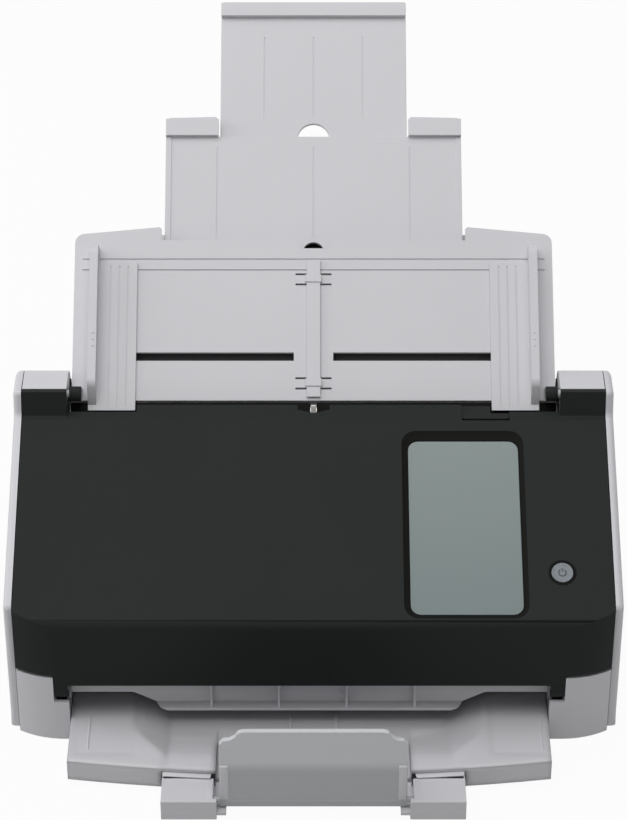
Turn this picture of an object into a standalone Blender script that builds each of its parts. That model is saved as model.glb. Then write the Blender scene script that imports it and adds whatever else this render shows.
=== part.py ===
"""Sheet fed document scanner: a desktop scanner with a straight sloping paper path.

The frame of the numbers is the body: X runs to the right, Y runs to the back from the front
face, and Z runs up from the desk. Sizes are in millimetres and MM turns them into metres.
"""
import math

import bmesh
import bpy
from mathutils import Matrix, Vector

MM = 0.001

# Clearances
FIT = 0.3
SEAM = 0.4
WALL = 2.5

# Body
BODY_WIDTH = 298.0
BODY_DEPTH = 135.0
EAR_TOP = 134.2
EAR_LENGTH = 28.0
SIDE_THICK = 4.0
CORNER_BOW = 43.0
FOOT_HEIGHT = 1.0
PAN_FLOOR = 1.6
BLOCK_TOP = 39.5
EXIT_SHIFT = -2.0
EXIT_EASE = 6.0
BOW_REACH = 22.6

# Cover
FRONT_BOTTOM = 35.0
CREASE_HEIGHT = 73.0
PANEL_LENGTH = 111.8
PANEL_SLOPE = 25.4
LIP_LENGTH = 10.6
LIP_SLOPE = 14.0
LIP_CUT = 4.4
LIP_CUT_SPARE = 1.2
CREASE_ROUND = 6.0
LEG_WIDTH = 6.6
LEG_RADIUS = 5.5
COVER_PIVOT_Y = 6.0
COVER_PIVOT_Z = 30.0
PIN_DIA = 4.0

# Touch screen and power button, placed on the sloping panel
GLASS_WIDTH = 54.4
GLASS_LENGTH = 95.0
GLASS_TO_BUTTON = 46.2
GLASS_FROM_CREASE = 53.5
GLASS_CORNER = 5.0
GLASS_SINK = 1.5
GLASS_RIM = 0.8
DISPLAY_THICK = 4.0
BUTTON_DIA = 10.6
BUTTON_INSET = 24.6
BUTTON_FROM_CREASE = 27.8
BUTTON_TRAVEL = 1.0
BOARD_THICK = 1.6
TAB_WIDTH = 23.0
TAB_PAST_GLASS = 11.7
TAB_LENGTH = 6.0
TAB_THICK = 1.6

# Paper path: a straight plane, measured along the slope from its exit end
PATH_SLOPE = 39.0
PATH_Y = 13.65
PATH_Z = 35.5
PATH_LENGTH = 135.5
PATH_GAP = 1.6
GUIDE_THICK = 2.0
GUIDE_EASE = 4.0
EJECT_AT = 16.0
SCAN_AT = 42.0
FEED_AT = 72.0
PICK_AT = 92.0
SHAFT_DIA = 6.0
DRIVE_ROLLER_DIA = 14.0
PICK_ROLLER_DIA = 20.0
PINCH_ROLLER_DIA = 10.0
BRAKE_ROLLER_DIA = 14.0
ROLLER_X = 45.0
ROLLER_WIDTH = 20.0
PICK_WIDTH = 36.0
SCAN_WIDTH = 18.0
SCAN_HEIGHT = 15.0
SCAN_EASE = 10.0

# Side frames and gear train
GEAR_BAY = 21.6
FRAME_THICK = 2.0
GEAR_MODULE = 1.0
GEAR_WIDTH = 6.0
GEAR_GAP = 2.0
BACKLASH = 0.14
SHAFT_GEAR_TEETH = 14
PICK_IDLER_TEETH = 12
DRIVE_IDLER_TEETH = 44
PINION_TEETH = 12
STUB_DIA = 4.0
MOTOR_DIA = 35.0
MOTOR_LENGTH = 28.0
MOTOR_DIRECTION = -20.0

# Chute, measured up its slope from the bottom edge of its face
CHUTE_EASE = 1.35
CHUTE_LENGTH = 85.0
CHUTE_SHOULDER = 7.0
CHUTE_DEPTH = 13.2
CHUTE_SKIN = 2.2
CHUTE_AXIS_ALONG = 0.5
CHUTE_AXIS_PROUD = 10.4
RACK_THICK = 2.5
LUG_WIDTH = 5.5
LUG_RADIUS = 3.4
SLOT_AT = 23.0
SLOT_HEIGHT = 4.4
SLOT_INNER = 9.9
RAIL_WIDTH = 7.0
RAIL_LENGTH = 74.0
MID_WIDTH = 152.2
MID_REACH = 143.4
MID_SHOULDER = 11.0
MID_THICK = 2.4
MID_TRAVEL = 55.0
TOP_WIDTH = 96.4
TOP_REACH = 220.0
TOP_LIP = 8.9
TOP_THICK = 2.2
TOP_TRAVEL = 62.0
FINGER_RADIUS = 8.2

# Paper side guides
GUIDE_INSET = 12.55
GUIDE_PLATE_WIDTH = 19.5
GUIDE_PLATE_THICK = 1.4
GUIDE_TOP = 72.5
GUIDE_BELOW = 5.6
FIN_THICK = 4.2
FIN_HEIGHT = 11.0
GUIDE_TRAVEL = 76.0
GUIDE_PINION_TEETH = 12

# Stacker
STACKER_DECK = 14.3
STACKER_BOTTOM = 3.0
DECK_THICK = 1.6
STACKER_FRONT = 40.0
STACKER_BOW = 800.0
STACKER_BACK = 56.0
SCOOP_HALF = 69.0
SCOOP_SPREAD = 17.0
VALLEY_HALF = 47.0
VALLEY_FLOOR = 6.4
STACKER_TRAVEL = 32.0
EXTENSION_WIDTH = 145.0
EXTENSION_FRONT = 58.0
EXTENSION_TOP = 11.7
EXTENSION_TRAVEL = 13.0
STOPPER_WIDTH = 89.0
STOPPER_RAISED = 69.0
STOPPER_TOP = 49.5
STOPPER_AXIS_Y = -52.0
STOPPER_AXIS_Z = 8.6
STOPPER_THICK = 2.6
STOPPER_BEND = 20.0
STOPPER_LEAN = 3.0

# Derived values
COVER_HALF = BODY_WIDTH / 2 - SIDE_THICK - SEAM
PAN_TOP = FOOT_HEIGHT + PAN_FLOOR
CREASE_TOP_Y = PANEL_LENGTH * math.cos(math.radians(PANEL_SLOPE))
CREASE_TOP_Z = CREASE_HEIGHT + PANEL_LENGTH * math.sin(math.radians(PANEL_SLOPE))
LIP_Y = CREASE_TOP_Y + LIP_LENGTH * math.cos(math.radians(LIP_SLOPE))
LIP_Z = CREASE_TOP_Z + LIP_LENGTH * math.sin(math.radians(LIP_SLOPE))
FRAME_INNER = COVER_HALF - GEAR_BAY
EAR_INNER = FRAME_INNER - SEAM
BOW_FROM = COVER_HALF - BOW_REACH
GUIDE_HALF = FRAME_INNER - GUIDE_EASE
SCAN_HALF = FRAME_INNER - SCAN_EASE
EXIT_LEFT = EXIT_SHIFT - (FRAME_INNER - EXIT_EASE)
EXIT_RIGHT = EXIT_SHIFT + (FRAME_INNER - EXIT_EASE)
BUTTON_X = COVER_HALF - BUTTON_INSET
GLASS_X = BUTTON_X - GLASS_TO_BUTTON
TAB_X = GLASS_X + TAB_PAST_GLASS
CHUTE_WIDTH = 2 * (EAR_INNER - CHUTE_EASE)
GUIDE_SPAN = CHUTE_WIDTH - 2 * GUIDE_INSET
LIP_CUT_FROM = GUIDE_SPAN / 2 - GUIDE_PLATE_WIDTH - LIP_CUT_SPARE
GEAR_X = -(FRAME_INNER + FRAME_THICK + GEAR_GAP + GEAR_WIDTH)
WHOLE_FRONT = -EXTENSION_FRONT


def slope_point(origin, slope, along, proud):
    """The (y, z) point that lies along and proud of a sloping line."""
    angle = math.radians(slope)
    y = origin[0] + along * math.cos(angle) - proud * math.sin(angle)
    z = origin[1] + along * math.sin(angle) + proud * math.cos(angle)
    return y, z


def path_point(along, proud):
    return slope_point((PATH_Y, PATH_Z), PATH_SLOPE, along, proud)


def panel_point(along, proud):
    return slope_point((0.0, CREASE_HEIGHT), PANEL_SLOPE, along, proud)


CHUTE_FOOT = path_point(PATH_LENGTH, 0.0)
CHUTE_AXIS = slope_point(CHUTE_FOOT, PATH_SLOPE, CHUTE_AXIS_ALONG, CHUTE_AXIS_PROUD)
WHOLE_BACK = slope_point(CHUTE_FOOT, PATH_SLOPE, TOP_REACH, -CHUTE_SKIN - RACK_THICK)[0]
BODY_SHIFT = -(WHOLE_FRONT + WHOLE_BACK) / 2

for stale in list(bpy.data.objects):
    bpy.data.objects.remove(stale)


def finish(name, colour, roughness, metallic=0.0):
    """A plain material with one colour."""
    material = bpy.data.materials.new(name)
    material.use_nodes = True
    shader = material.node_tree.nodes["Principled BSDF"]
    shader.inputs["Base Color"].default_value = (*colour, 1.0)
    shader.inputs["Roughness"].default_value = roughness
    shader.inputs["Metallic"].default_value = metallic
    return material


LIGHT_PLASTIC = finish("light_grey_abs", (0.58, 0.58, 0.60), 0.45)
DARK_PLASTIC = finish("dark_grey_abs", (0.028, 0.032, 0.031), 0.42)
BLACK_PLASTIC = finish("black_abs", (0.012, 0.012, 0.012), 0.5)
WHITE_GEAR = finish("white_acetal", (0.75, 0.74, 0.70), 0.4)
RUBBER = finish("grey_rubber", (0.06, 0.06, 0.065), 0.85)
STEEL = finish("bright_steel", (0.62, 0.62, 0.63), 0.3, 1.0)
PLATE_STEEL = finish("zinc_plated_steel", (0.55, 0.56, 0.57), 0.4, 1.0)
SCREEN_GLASS = finish("touch_glass", (0.22, 0.27, 0.26), 0.12)
CLEAR_GLASS = finish("scan_glass", (0.35, 0.42, 0.42), 0.08)
BOARD_GREEN = finish("circuit_board", (0.02, 0.14, 0.06), 0.5)
BUTTON_GREY = finish("button_grey", (0.25, 0.28, 0.31), 0.35)


def empty(name, parent=None, at=(0, 0, 0), tilt=0.0):
    """An unseen frame that pieces are parented to."""
    frame = bpy.data.objects.new(name, None)
    bpy.context.collection.objects.link(frame)
    frame.parent = parent
    frame.location = [value * MM for value in at]
    frame.rotation_euler = (math.radians(tilt), 0, 0)
    return frame


BODY = empty("body_frame", None, (0, BODY_SHIFT, 0))
PATH = empty("path_frame", BODY, (0, PATH_Y, PATH_Z), PATH_SLOPE)
COVER = empty("cover_frame", BODY, (0, COVER_PIVOT_Y, COVER_PIVOT_Z))
COVER_BODY = empty("cover_body_frame", COVER, (0, -COVER_PIVOT_Y, -COVER_PIVOT_Z))
PANEL = empty("panel_frame", COVER_BODY, (0, 0, CREASE_HEIGHT), PANEL_SLOPE)
COVER_PATH = empty("cover_path_frame", COVER_BODY, (0, PATH_Y, PATH_Z), PATH_SLOPE)
CHUTE = empty("chute_frame", BODY, (0, *CHUTE_AXIS), PATH_SLOPE)
FACE = empty("chute_face_frame", CHUTE, (0, -CHUTE_AXIS_ALONG, -CHUTE_AXIS_PROUD))
STOPPER = empty("stopper_frame", BODY, (0, STOPPER_AXIS_Y, STOPPER_AXIS_Z))


def link(name, mesh, parent=None, material=None):
    thing = bpy.data.objects.new(name, mesh)
    bpy.context.collection.objects.link(thing)
    thing.parent = parent
    if material:
        mesh.materials.append(material)
    return thing


def extrude_outline(outline, low, high, axis):
    """A mesh made from a flat outline extruded along X ('x': points are y, z) or Z ('z': x, y)."""
    mesh = bpy.data.meshes.new("solid")
    bm = bmesh.new()
    for a, b in outline:
        point = (low, a, b) if axis == "x" else (a, b, low)
        bm.verts.new(Vector(point) * MM)
    face = bm.faces.new(bm.verts)
    lift = Vector((high - low, 0, 0)) if axis == "x" else Vector((0, 0, high - low))
    grown = bmesh.ops.extrude_face_region(bm, geom=[face])
    moved = [item for item in grown["geom"] if isinstance(item, bmesh.types.BMVert)]
    bmesh.ops.translate(bm, verts=moved, vec=lift * MM)
    bmesh.ops.recalc_face_normals(bm, faces=bm.faces)
    bm.to_mesh(mesh)
    bm.free()
    return mesh


def profile(name, outline, left, right, parent=None, material=None):
    """A piece with one side outline, as wide as left to right."""
    return link(name, extrude_outline(outline, left, right, "x"), parent, material)


def plate(name, outline, low, high, parent=None, material=None):
    """A piece with one plan outline, from low to high in its frame."""
    return link(name, extrude_outline(outline, low, high, "z"), parent, material)


def funnel(name, floor, mouth, low, high, parent=None):
    """A cutter that widens from one plan outline at its floor to another at its mouth."""
    mesh = bpy.data.meshes.new(name)
    bm = bmesh.new()
    rings = [[bm.verts.new((x * MM, y * MM, level * MM)) for x, y in outline]
             for outline, level in ((floor, low), (mouth, high))]
    count = len(floor)
    for k in range(count):
        bm.faces.new((rings[0][k], rings[0][(k + 1) % count], rings[1][(k + 1) % count], rings[1][k]))
    bm.faces.new(rings[0])
    bm.faces.new(rings[1])
    bmesh.ops.recalc_face_normals(bm, faces=bm.faces)
    bm.to_mesh(mesh)
    bm.free()
    return link(name, mesh, parent)


def rectangle(left, right, near, far):
    return [(left, near), (right, near), (right, far), (left, far)]


def block(name, left, right, near, far, low, high, parent=None, material=None):
    return plate(name, rectangle(left, right, near, far), low, high, parent, material)


def arc(centre, radius, start, stop, steps=8):
    """Points along an arc, from one angle to another in degrees."""
    points = []
    for step in range(steps + 1):
        angle = math.radians(start + (stop - start) * step / steps)
        points.append((centre[0] + radius * math.cos(angle), centre[1] + radius * math.sin(angle)))
    return points


def rounded(left, right, near, far, radius, steps=5):
    """A rectangle with round corners."""
    points = arc((right - radius, near + radius), radius, -90, 0, steps)
    points += arc((right - radius, far - radius), radius, 0, 90, steps)
    points += arc((left + radius, far - radius), radius, 90, 180, steps)
    points += arc((left + radius, near + radius), radius, 180, 270, steps)
    return points


def rod(name, sections, at, parent=None, material=None, sides=24):
    """A turned piece along X: sections are (left, right, radius), side by side."""
    mesh = bpy.data.meshes.new(name)
    bm = bmesh.new()
    line = [(sections[0][0], 0.0)]
    for left, right, radius in sections:
        line += [(left, radius), (right, radius)]
    line.append((sections[-1][1], 0.0))
    verts = [bm.verts.new((x * MM, radius * MM, 0)) for x, radius in line]
    edges = [bm.edges.new(pair) for pair in zip(verts, verts[1:])]
    turn = math.tau
    bmesh.ops.spin(bm, geom=verts + edges, cent=(0, 0, 0), axis=(1, 0, 0), angle=turn, steps=sides)
    bmesh.ops.remove_doubles(bm, verts=bm.verts, dist=1e-6)
    bmesh.ops.recalc_face_normals(bm, faces=bm.faces)
    bm.to_mesh(mesh)
    bm.free()
    mesh.shade_smooth()
    mesh.set_sharp_from_angle(angle=math.radians(40))
    piece = link(name, mesh, parent, material)
    piece.location = (0, at[0] * MM, at[1] * MM)
    return piece


def combine(piece, tool, operation):
    """Apply a Boolean with a tool that is thrown away afterwards."""
    if tool.parent != piece.parent:
        bpy.context.view_layer.update()
        tool.data.transform(piece.matrix_world.inverted() @ tool.matrix_world)
        tool.parent = piece.parent
        tool.matrix_basis = piece.matrix_basis
    modifier = piece.modifiers.new(operation.lower(), "BOOLEAN")
    modifier.operation = operation
    modifier.object = tool
    graph = bpy.context.evaluated_depsgraph_get()
    graph.update()
    shaped = bpy.data.meshes.new_from_object(piece.evaluated_get(graph))
    materials = list(piece.data.materials)
    piece.modifiers.clear()
    piece.data = shaped
    shaped.materials.clear()
    for material in materials:
        shaped.materials.append(material)
    bpy.data.objects.remove(tool)
    return piece


def cut(piece, *tools):
    for tool in tools:
        combine(piece, tool, "DIFFERENCE")
    return piece


def add(piece, *tools):
    for tool in tools:
        combine(piece, tool, "UNION")
    return piece


def bow_back(x, straight=BOW_FROM):
    """How far the front of the body falls back beside its straight middle."""
    past = max(0.0, abs(x) - straight)
    return CORNER_BOW - math.sqrt(CORNER_BOW ** 2 - past ** 2)


def plan_outline(half, inset, back, straight=BOW_FROM, steps=6):
    """The plan of the body's front, straight in the middle and bowed back at both ends."""
    points = []
    for step in range(steps + 1):
        x = half - (half - straight) * step / steps
        points.append((x, bow_back(x, straight) + inset))
    points += [(-x, y) for x, y in reversed(points)]
    return points + [(-half, back), (half, back)]


# Gears
def gear_outline(teeth, phase):
    """Involute teeth, thinned for backlash, with the tooth tips and roots as short lands."""
    pitch = GEAR_MODULE * teeth / 2
    base = pitch * math.cos(math.radians(20))
    tip = pitch + 0.9 * GEAR_MODULE
    root = pitch - 1.15 * GEAR_MODULE

    def spread(radius):
        if radius <= base:
            return 0.0
        lean = math.acos(base / radius)
        return math.tan(lean) - lean

    half = (math.pi / 2 - BACKLASH) / teeth + spread(pitch)
    levels = [root, max(base, root + 0.05), pitch, tip]
    points = []
    for tooth in range(teeth):
        middle = phase + math.tau * tooth / teeth
        flank = [(level, half - spread(level)) for level in levels]
        for level, lean in flank:
            points.append((level * math.cos(middle - lean), level * math.sin(middle - lean)))
        for level, lean in reversed(flank):
            points.append((level * math.cos(middle + lean), level * math.sin(middle + lean)))
    return points


def meshing_phase(teeth, phase, other_teeth, direction):
    """The phase of a second gear, that lies in a direction, so that its teeth sit in gaps."""
    offset = phase - direction
    return direction + math.pi - offset * teeth / other_teeth + math.pi / other_teeth


def direction_between(start, end):
    return math.atan2(end[1] - start[1], end[0] - start[0])


def triangle_tip(start, end, reach_start, reach_end, side):
    """The point at given distances from two others, on one side of the line between them."""
    span = math.dist(start, end)
    along = (reach_start ** 2 - reach_end ** 2 + span ** 2) / (2 * span)
    height = math.sqrt(reach_start ** 2 - along ** 2) * side
    ahead = ((end[0] - start[0]) / span, (end[1] - start[1]) / span)
    return (start[0] + along * ahead[0] - height * ahead[1],
            start[1] + along * ahead[1] + height * ahead[0])


def gear(name, teeth, phase, at, bore=None, stub=None, parent=None, material=WHITE_GEAR):
    """A gear on the left of the frame, bored for a shaft or with its own stub."""
    wheel = profile(name, gear_outline(teeth, phase), GEAR_X, GEAR_X + GEAR_WIDTH, parent, material)
    if bore:
        reach = (GEAR_X - 1, GEAR_X + GEAR_WIDTH + 1, bore / 2)
        cut(wheel, rod("bore", [reach], (0, 0), parent))
    if stub:
        reach = (GEAR_X + 1, stub, STUB_DIA / 2)
        add(wheel, rod("stub", [reach], (0, 0), parent))
    wheel.location = (0, at[0] * MM, at[1] * MM)
    return wheel


EJECT_AXLE = path_point(EJECT_AT, -DRIVE_ROLLER_DIA / 2 - FIT / 2)
FEED_AXLE = path_point(FEED_AT, -DRIVE_ROLLER_DIA / 2 - FIT / 2)
PICK_AXLE = path_point(PICK_AT, -PICK_ROLLER_DIA / 2 - FIT / 2)
IDLER_REACH = GEAR_MODULE * (SHAFT_GEAR_TEETH + DRIVE_IDLER_TEETH) / 2
PICK_REACH = GEAR_MODULE * (SHAFT_GEAR_TEETH + PICK_IDLER_TEETH) / 2
PINION_REACH = GEAR_MODULE * (PINION_TEETH + DRIVE_IDLER_TEETH) / 2
DRIVE_IDLER_AXLE = triangle_tip(EJECT_AXLE, FEED_AXLE, IDLER_REACH, IDLER_REACH, -1)
PICK_IDLER_AXLE = triangle_tip(FEED_AXLE, PICK_AXLE, PICK_REACH, PICK_REACH, -1)
MOTOR_AXLE = slope_point(DRIVE_IDLER_AXLE, MOTOR_DIRECTION, PINION_REACH, 0)


def disc(name, x, y, radius, low, high, parent=None, material=None, sides=24):
    """A round plate that stands in its frame."""
    outline = arc((x, y), radius, 0, 360 - 360 / sides, sides - 1)
    return plate(name, outline, low, high, parent, material)


def mirrored(outline):
    return [(-x, y) for x, y in reversed(outline)]


# Bottom pan: floor, bowed front corner walls, hinge bosses and stacker channel
def front_wall(left, right, thick, steps=8):
    """The plan of a bowed wall between two places across the front."""
    xs = [left + (right - left) * step / steps for step in range(steps + 1)]
    outer = [(x, bow_back(x)) for x in xs]
    return outer + [(x, bow_back(x) + thick) for x in reversed(xs)]


LEG_SPANS = ((EXIT_LEFT - SEAM - LEG_WIDTH, EXIT_LEFT - SEAM),
             (EXIT_RIGHT + SEAM, EXIT_RIGHT + SEAM + LEG_WIDTH))
PIVOT = (COVER_PIVOT_Y, COVER_PIVOT_Z)
NOTCH_FLOOR = COVER_PIVOT_Z - LEG_RADIUS - FIT
SWING_GAP = 1.5
BOARD_Z = 17.5
BOARD = (-FRAME_INNER + 3, -FRAME_INNER + 163, 104.0, 131.0)


def make_bottom_pan():
    back = BODY_DEPTH - WALL - FIT
    pan = block("bottom_pan", -COVER_HALF, COVER_HALF, 9, back, FOOT_HEIGHT, PAN_TOP, BODY, LIGHT_PLASTIC)
    add(pan, block("sill", EXIT_LEFT, EXIT_RIGHT, 1, 12, FOOT_HEIGHT, PAN_TOP, BODY))
    for sign, inner, leg in ((-1, EXIT_LEFT, LEG_SPANS[0]), (1, EXIT_RIGHT, LEG_SPANS[1])):
        ends = sorted((sign * COVER_HALF, inner))
        add(pan, plate("corner", front_wall(*ends, WALL + 8), FOOT_HEIGHT, PAN_TOP, BODY))
        add(pan, plate("corner_wall", front_wall(*ends, WALL), FOOT_HEIGHT, BLOCK_TOP, BODY))
        outer = leg[0] if sign < 0 else leg[1]
        boss = sorted((outer + sign * FIT, outer + sign * 8))
        add(pan, block("hinge_boss", *boss, bow_back(boss[0] if sign < 0 else boss[1]) + 0.5, 12,
                       FOOT_HEIGHT, COVER_PIVOT_Z + 6, BODY))
        channel = sorted((inner, inner + sign * 2.2))
        add(pan, block("channel", *channel, 1, 92, FOOT_HEIGHT, STACKER_DECK + 2, BODY))
        add(pan, block("wall_post", *channel, 13, 24, FOOT_HEIGHT, COVER_PIVOT_Z, BODY))
        notch = sorted((outer + sign * FIT, inner - sign))
        cut(pan, block("leg_notch", *notch, -1, COVER_PIVOT_Y + LEG_RADIUS + 1, NOTCH_FLOOR, 60, BODY))
        reach = sorted((inner - sign * 2, outer + sign * 7))
        cut(pan, rod("pin_hole", [(*reach, PIN_DIA / 2 + FIT)], PIVOT, BODY))
    for x in (BOARD[0] + 4, BOARD[1] - 4):
        for y in (BOARD[2] + 4, BOARD[3] - 4):
            add(pan, block("post", x - 2.5, x + 2.5, y - 2.5, y + 2.5, FOOT_HEIGHT, BOARD_Z - FIT, BODY))
    return pan


def make_feet():
    for side, x in (("left", -BOW_FROM), ("right", BOW_FROM)):
        for end, y in (("front", 20.0), ("rear", 118.0)):
            disc(f"foot_{end}_{side}", x, y, 7, 0, FOOT_HEIGHT - FIT / 2, BODY, RUBBER)


# Side covers: one shallow moulding each, with the outline of the whole body
REAR_ROUND = 13.0
EAR_FRONT = BODY_DEPTH - EAR_LENGTH


def side_outline(inset=0.0):
    front = bow_back(BODY_WIDTH / 2 - 2) + inset
    low = FOOT_HEIGHT + inset
    back = BODY_DEPTH - inset
    top = EAR_TOP - inset
    lower = panel_point(front / math.cos(math.radians(PANEL_SLOPE)), -inset)
    upper = panel_point(PANEL_LENGTH + 3, -inset)
    points = arc((front + 8, low + 8), 8, 270, 180, 5)
    points += [lower, upper, (EAR_FRONT + inset, top)]
    points += arc((BODY_DEPTH - REAR_ROUND, EAR_TOP - REAR_ROUND), REAR_ROUND - inset, 90, 0, 6)
    return points + arc((back - 6, low + 6), 6, 0, -90, 4)


def make_side_cover(name, sign):
    ends = sorted((sign * (COVER_HALF + SEAM), sign * BODY_WIDTH / 2))
    cover = profile(name, side_outline(), *ends, BODY, LIGHT_PLASTIC)
    pocket = sorted((sign * (COVER_HALF + SEAM - 1), sign * (BODY_WIDTH / 2 - 2)))
    return cut(cover, profile("pocket", side_outline(3.0), *pocket, BODY))


# Rear cover: back wall with port openings, two ears that carry the chute, and a deck under it
DECK_BACK = 100.0
PORTS = {"dc_jack": (11.0, 22.0, 11.0), "usb_port": (39.0, 51.0, 11.0), "lan_port": (69.0, 85.0, 13.5)}
PORTS = {name: (left - FRAME_INNER, right - FRAME_INNER, height) for name, (left, right, height) in PORTS.items()}


def make_rear_cover():
    front = EAR_FRONT + WALL + SEAM
    floor = PAN_TOP + FIT
    round_at = (BODY_DEPTH - REAR_ROUND, EAR_TOP - REAR_ROUND)
    outer = [(front, EAR_TOP)] + arc(round_at, REAR_ROUND, 90, 0, 6) + [(BODY_DEPTH, floor)]
    inner = [(BODY_DEPTH - WALL, floor)] + arc(round_at, REAR_ROUND - WALL, 0, 90, 6)
    inner.append((front, EAR_TOP - WALL))
    cover = profile("rear_cover", outer + inner, -COVER_HALF, COVER_HALF, BODY, LIGHT_PLASTIC)
    cut(cover, block("chute_bay", -EAR_INNER, EAR_INNER, 90, 150, DECK_BACK, 150, BODY))
    deck = [(BODY_DEPTH, DECK_BACK), (127, 104.5), (119.5, 113.6), (117.8, 112), (126, 102.2),
            (BODY_DEPTH - WALL, 97.5), (BODY_DEPTH - WALL, 96), (BODY_DEPTH, 96)]
    add(cover, profile("deck", deck, -EAR_INNER - 1, EAR_INNER + 1, BODY))
    cheek = [(front, 101)] + outer[:-1] + [(BODY_DEPTH, 98), (126, 98)]
    for sign in (-1, 1):
        ends = sorted((sign * EAR_INNER, sign * (EAR_INNER + WALL)))
        add(cover, profile("cheek", cheek, *ends, BODY))
        reach = sorted((sign * (EAR_INNER - 1), sign * (EAR_INNER + WALL + 1)))
        cut(cover, rod("pin_hole", [(*reach, PIN_DIA / 2 + FIT)], CHUTE_AXIS, BODY))
    for left, right, height in PORTS.values():
        low = BOARD_Z + BOARD_THICK
        cut(cover, block("port_hole", left - FIT, right + FIT, 130, 140, low, low + height + 2 * FIT, BODY))
    return cover


# Side frames with the bearing holes of the shafts
def make_frame(name, sign):
    under = -(PATH_GAP / 2 + GUIDE_THICK + FIT)
    floor = PAN_TOP + FIT
    outline = [(22, floor), (128, floor), (128, 90), (108, 96), path_point(106, under),
               path_point(8, under), (22, 30)]
    ends = sorted((sign * FRAME_INNER, sign * (FRAME_INNER + FRAME_THICK)))
    reach = sorted((sign * (FRAME_INNER - 1), sign * (FRAME_INNER + FRAME_THICK + 1)))
    frame = profile(name, outline, *ends, BODY, PLATE_STEEL)
    holes = [(axle, SHAFT_DIA) for axle in (EJECT_AXLE, FEED_AXLE, PICK_AXLE)]
    if sign < 0:
        holes += [(axle, STUB_DIA) for axle in (DRIVE_IDLER_AXLE, PICK_IDLER_AXLE, MOTOR_AXLE)]
    for axle, size in holes:
        cut(frame, rod("bearing", [(*reach, size / 2 + FIT)], axle, BODY))
    return frame


# Lower paper guide, exit wall and the scanning unit under the path
LOWER_TOP = -PATH_GAP / 2
LOWER_HALF = FRAME_INNER + FRAME_THICK + FIT
WINDOW = 1.5


def roller_windows(at, diameter, width, places):
    half = diameter / 2 + WINDOW
    for x in places:
        yield rectangle(x - width / 2 - WINDOW, x + width / 2 + WINDOW, at - half, at + half)


def path_windows():
    yield from roller_windows(EJECT_AT, DRIVE_ROLLER_DIA - 2, ROLLER_WIDTH, (-ROLLER_X, ROLLER_X))
    yield from roller_windows(FEED_AT, DRIVE_ROLLER_DIA, ROLLER_WIDTH, (-ROLLER_X, ROLLER_X))
    yield from roller_windows(PICK_AT, PICK_ROLLER_DIA, PICK_WIDTH, (0,))
    yield rectangle(-SCAN_HALF, SCAN_HALF, SCAN_AT - SCAN_WIDTH / 2, SCAN_AT + SCAN_WIDTH / 2)


FLAG_HALF = 1.3


def make_lower_guide():
    inlet = EAR_INNER - 1
    right = [(LOWER_HALF, 6), (LOWER_HALF, 106), (inlet, 106), (inlet, PATH_LENGTH - 0.9)]
    outline = right + mirrored(right)
    guide = plate("lower_guide", outline, LOWER_TOP - GUIDE_THICK, LOWER_TOP, PATH, BLACK_PLASTIC)
    for window in path_windows():
        cut(guide, plate("window", window, -9, 9, PATH))
    slot = FLAG_HALF + FIT
    return cut(guide, block("flag_slot", -slot, slot, PATH_LENGTH - 14, PATH_LENGTH, -9, 9, PATH))


def make_sensor_flag():
    at = PATH_LENGTH
    outline = [(at - 12, -6), (at - 9.5, -6), (at - 9, -2), (at - 3.2, 3.0), (at - 4.2, 4.2), (at - 12, -1)]
    return profile("sensor_flag", outline, -FLAG_HALF, FLAG_HALF, PATH, WHITE_GEAR)


RIB_PLACES = (-49.9, -16.9, 16.2, 49.5)


def make_exit_wall():
    left = EXIT_LEFT + FIT
    right = EXIT_RIGHT - FIT
    outline = [(16.4, 36.6), (12.6, 33.0), (9.6, 24), (8.6, 18), (4.6, 16.8), (4.6, 15.2), (10.8, 15.2),
               (12.0, 24), (14.6, 31.2), (18.2, 34.4)]
    wall = profile("exit_wall", outline, left, right, BODY, LIGHT_PLASTIC)
    rib = [(12.8, 33), (7.2, 30), (5.6, 22), (5.0, 16), (9, 16), (10.5, 24)]
    for x in RIB_PLACES:
        add(wall, profile("rib", rib, x - 0.7, x + 0.7, BODY))
    face = empty("wall_face", BODY, (0, 0, 0), 90)
    for sign, end in ((-1, left), (1, right)):
        foot = EXIT_SHIFT + sign * SCOOP_HALF
        crest = foot + sign * SCOOP_SPREAD
        rise = [(foot, 10), (foot, 15), (crest, 23), (end + sign, 23), (end + sign, 10)]
        cut(wall, plate("end_rise", rise, -13.4, 0, face))
    return wall


def make_scan_units():
    near = SCAN_AT - SCAN_WIDTH / 2
    far = SCAN_AT + SCAN_WIDTH / 2
    face = PATH_GAP / 2 + GUIDE_THICK + FIT
    for name, sign, frame in (("back", -1, PATH), ("front", 1, COVER_PATH)):
        levels = sorted((sign * face, sign * (face + SCAN_HEIGHT)))
        block(f"{name}_scan_unit", -SCAN_HALF - 3, SCAN_HALF + 3, near, far, *levels, frame, BLACK_PLASTIC)
        glass = sorted((sign * PATH_GAP / 2, sign * (face - FIT)))
        inset = 0.5
        block(f"{name}_scan_glass", -SCAN_HALF + inset, SCAN_HALF - inset, near + inset, far - inset,
              *glass, frame, CLEAR_GLASS)


# Shafts, rollers and gears of the drive
def roller(name, x, width, diameter, axle, bore):
    sleeve = rod(name, [(x - width / 2, x + width / 2, diameter / 2)], axle, BODY, RUBBER)
    return cut(sleeve, rod("bore", [(x - width, x + width, bore / 2)], axle, BODY))


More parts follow.
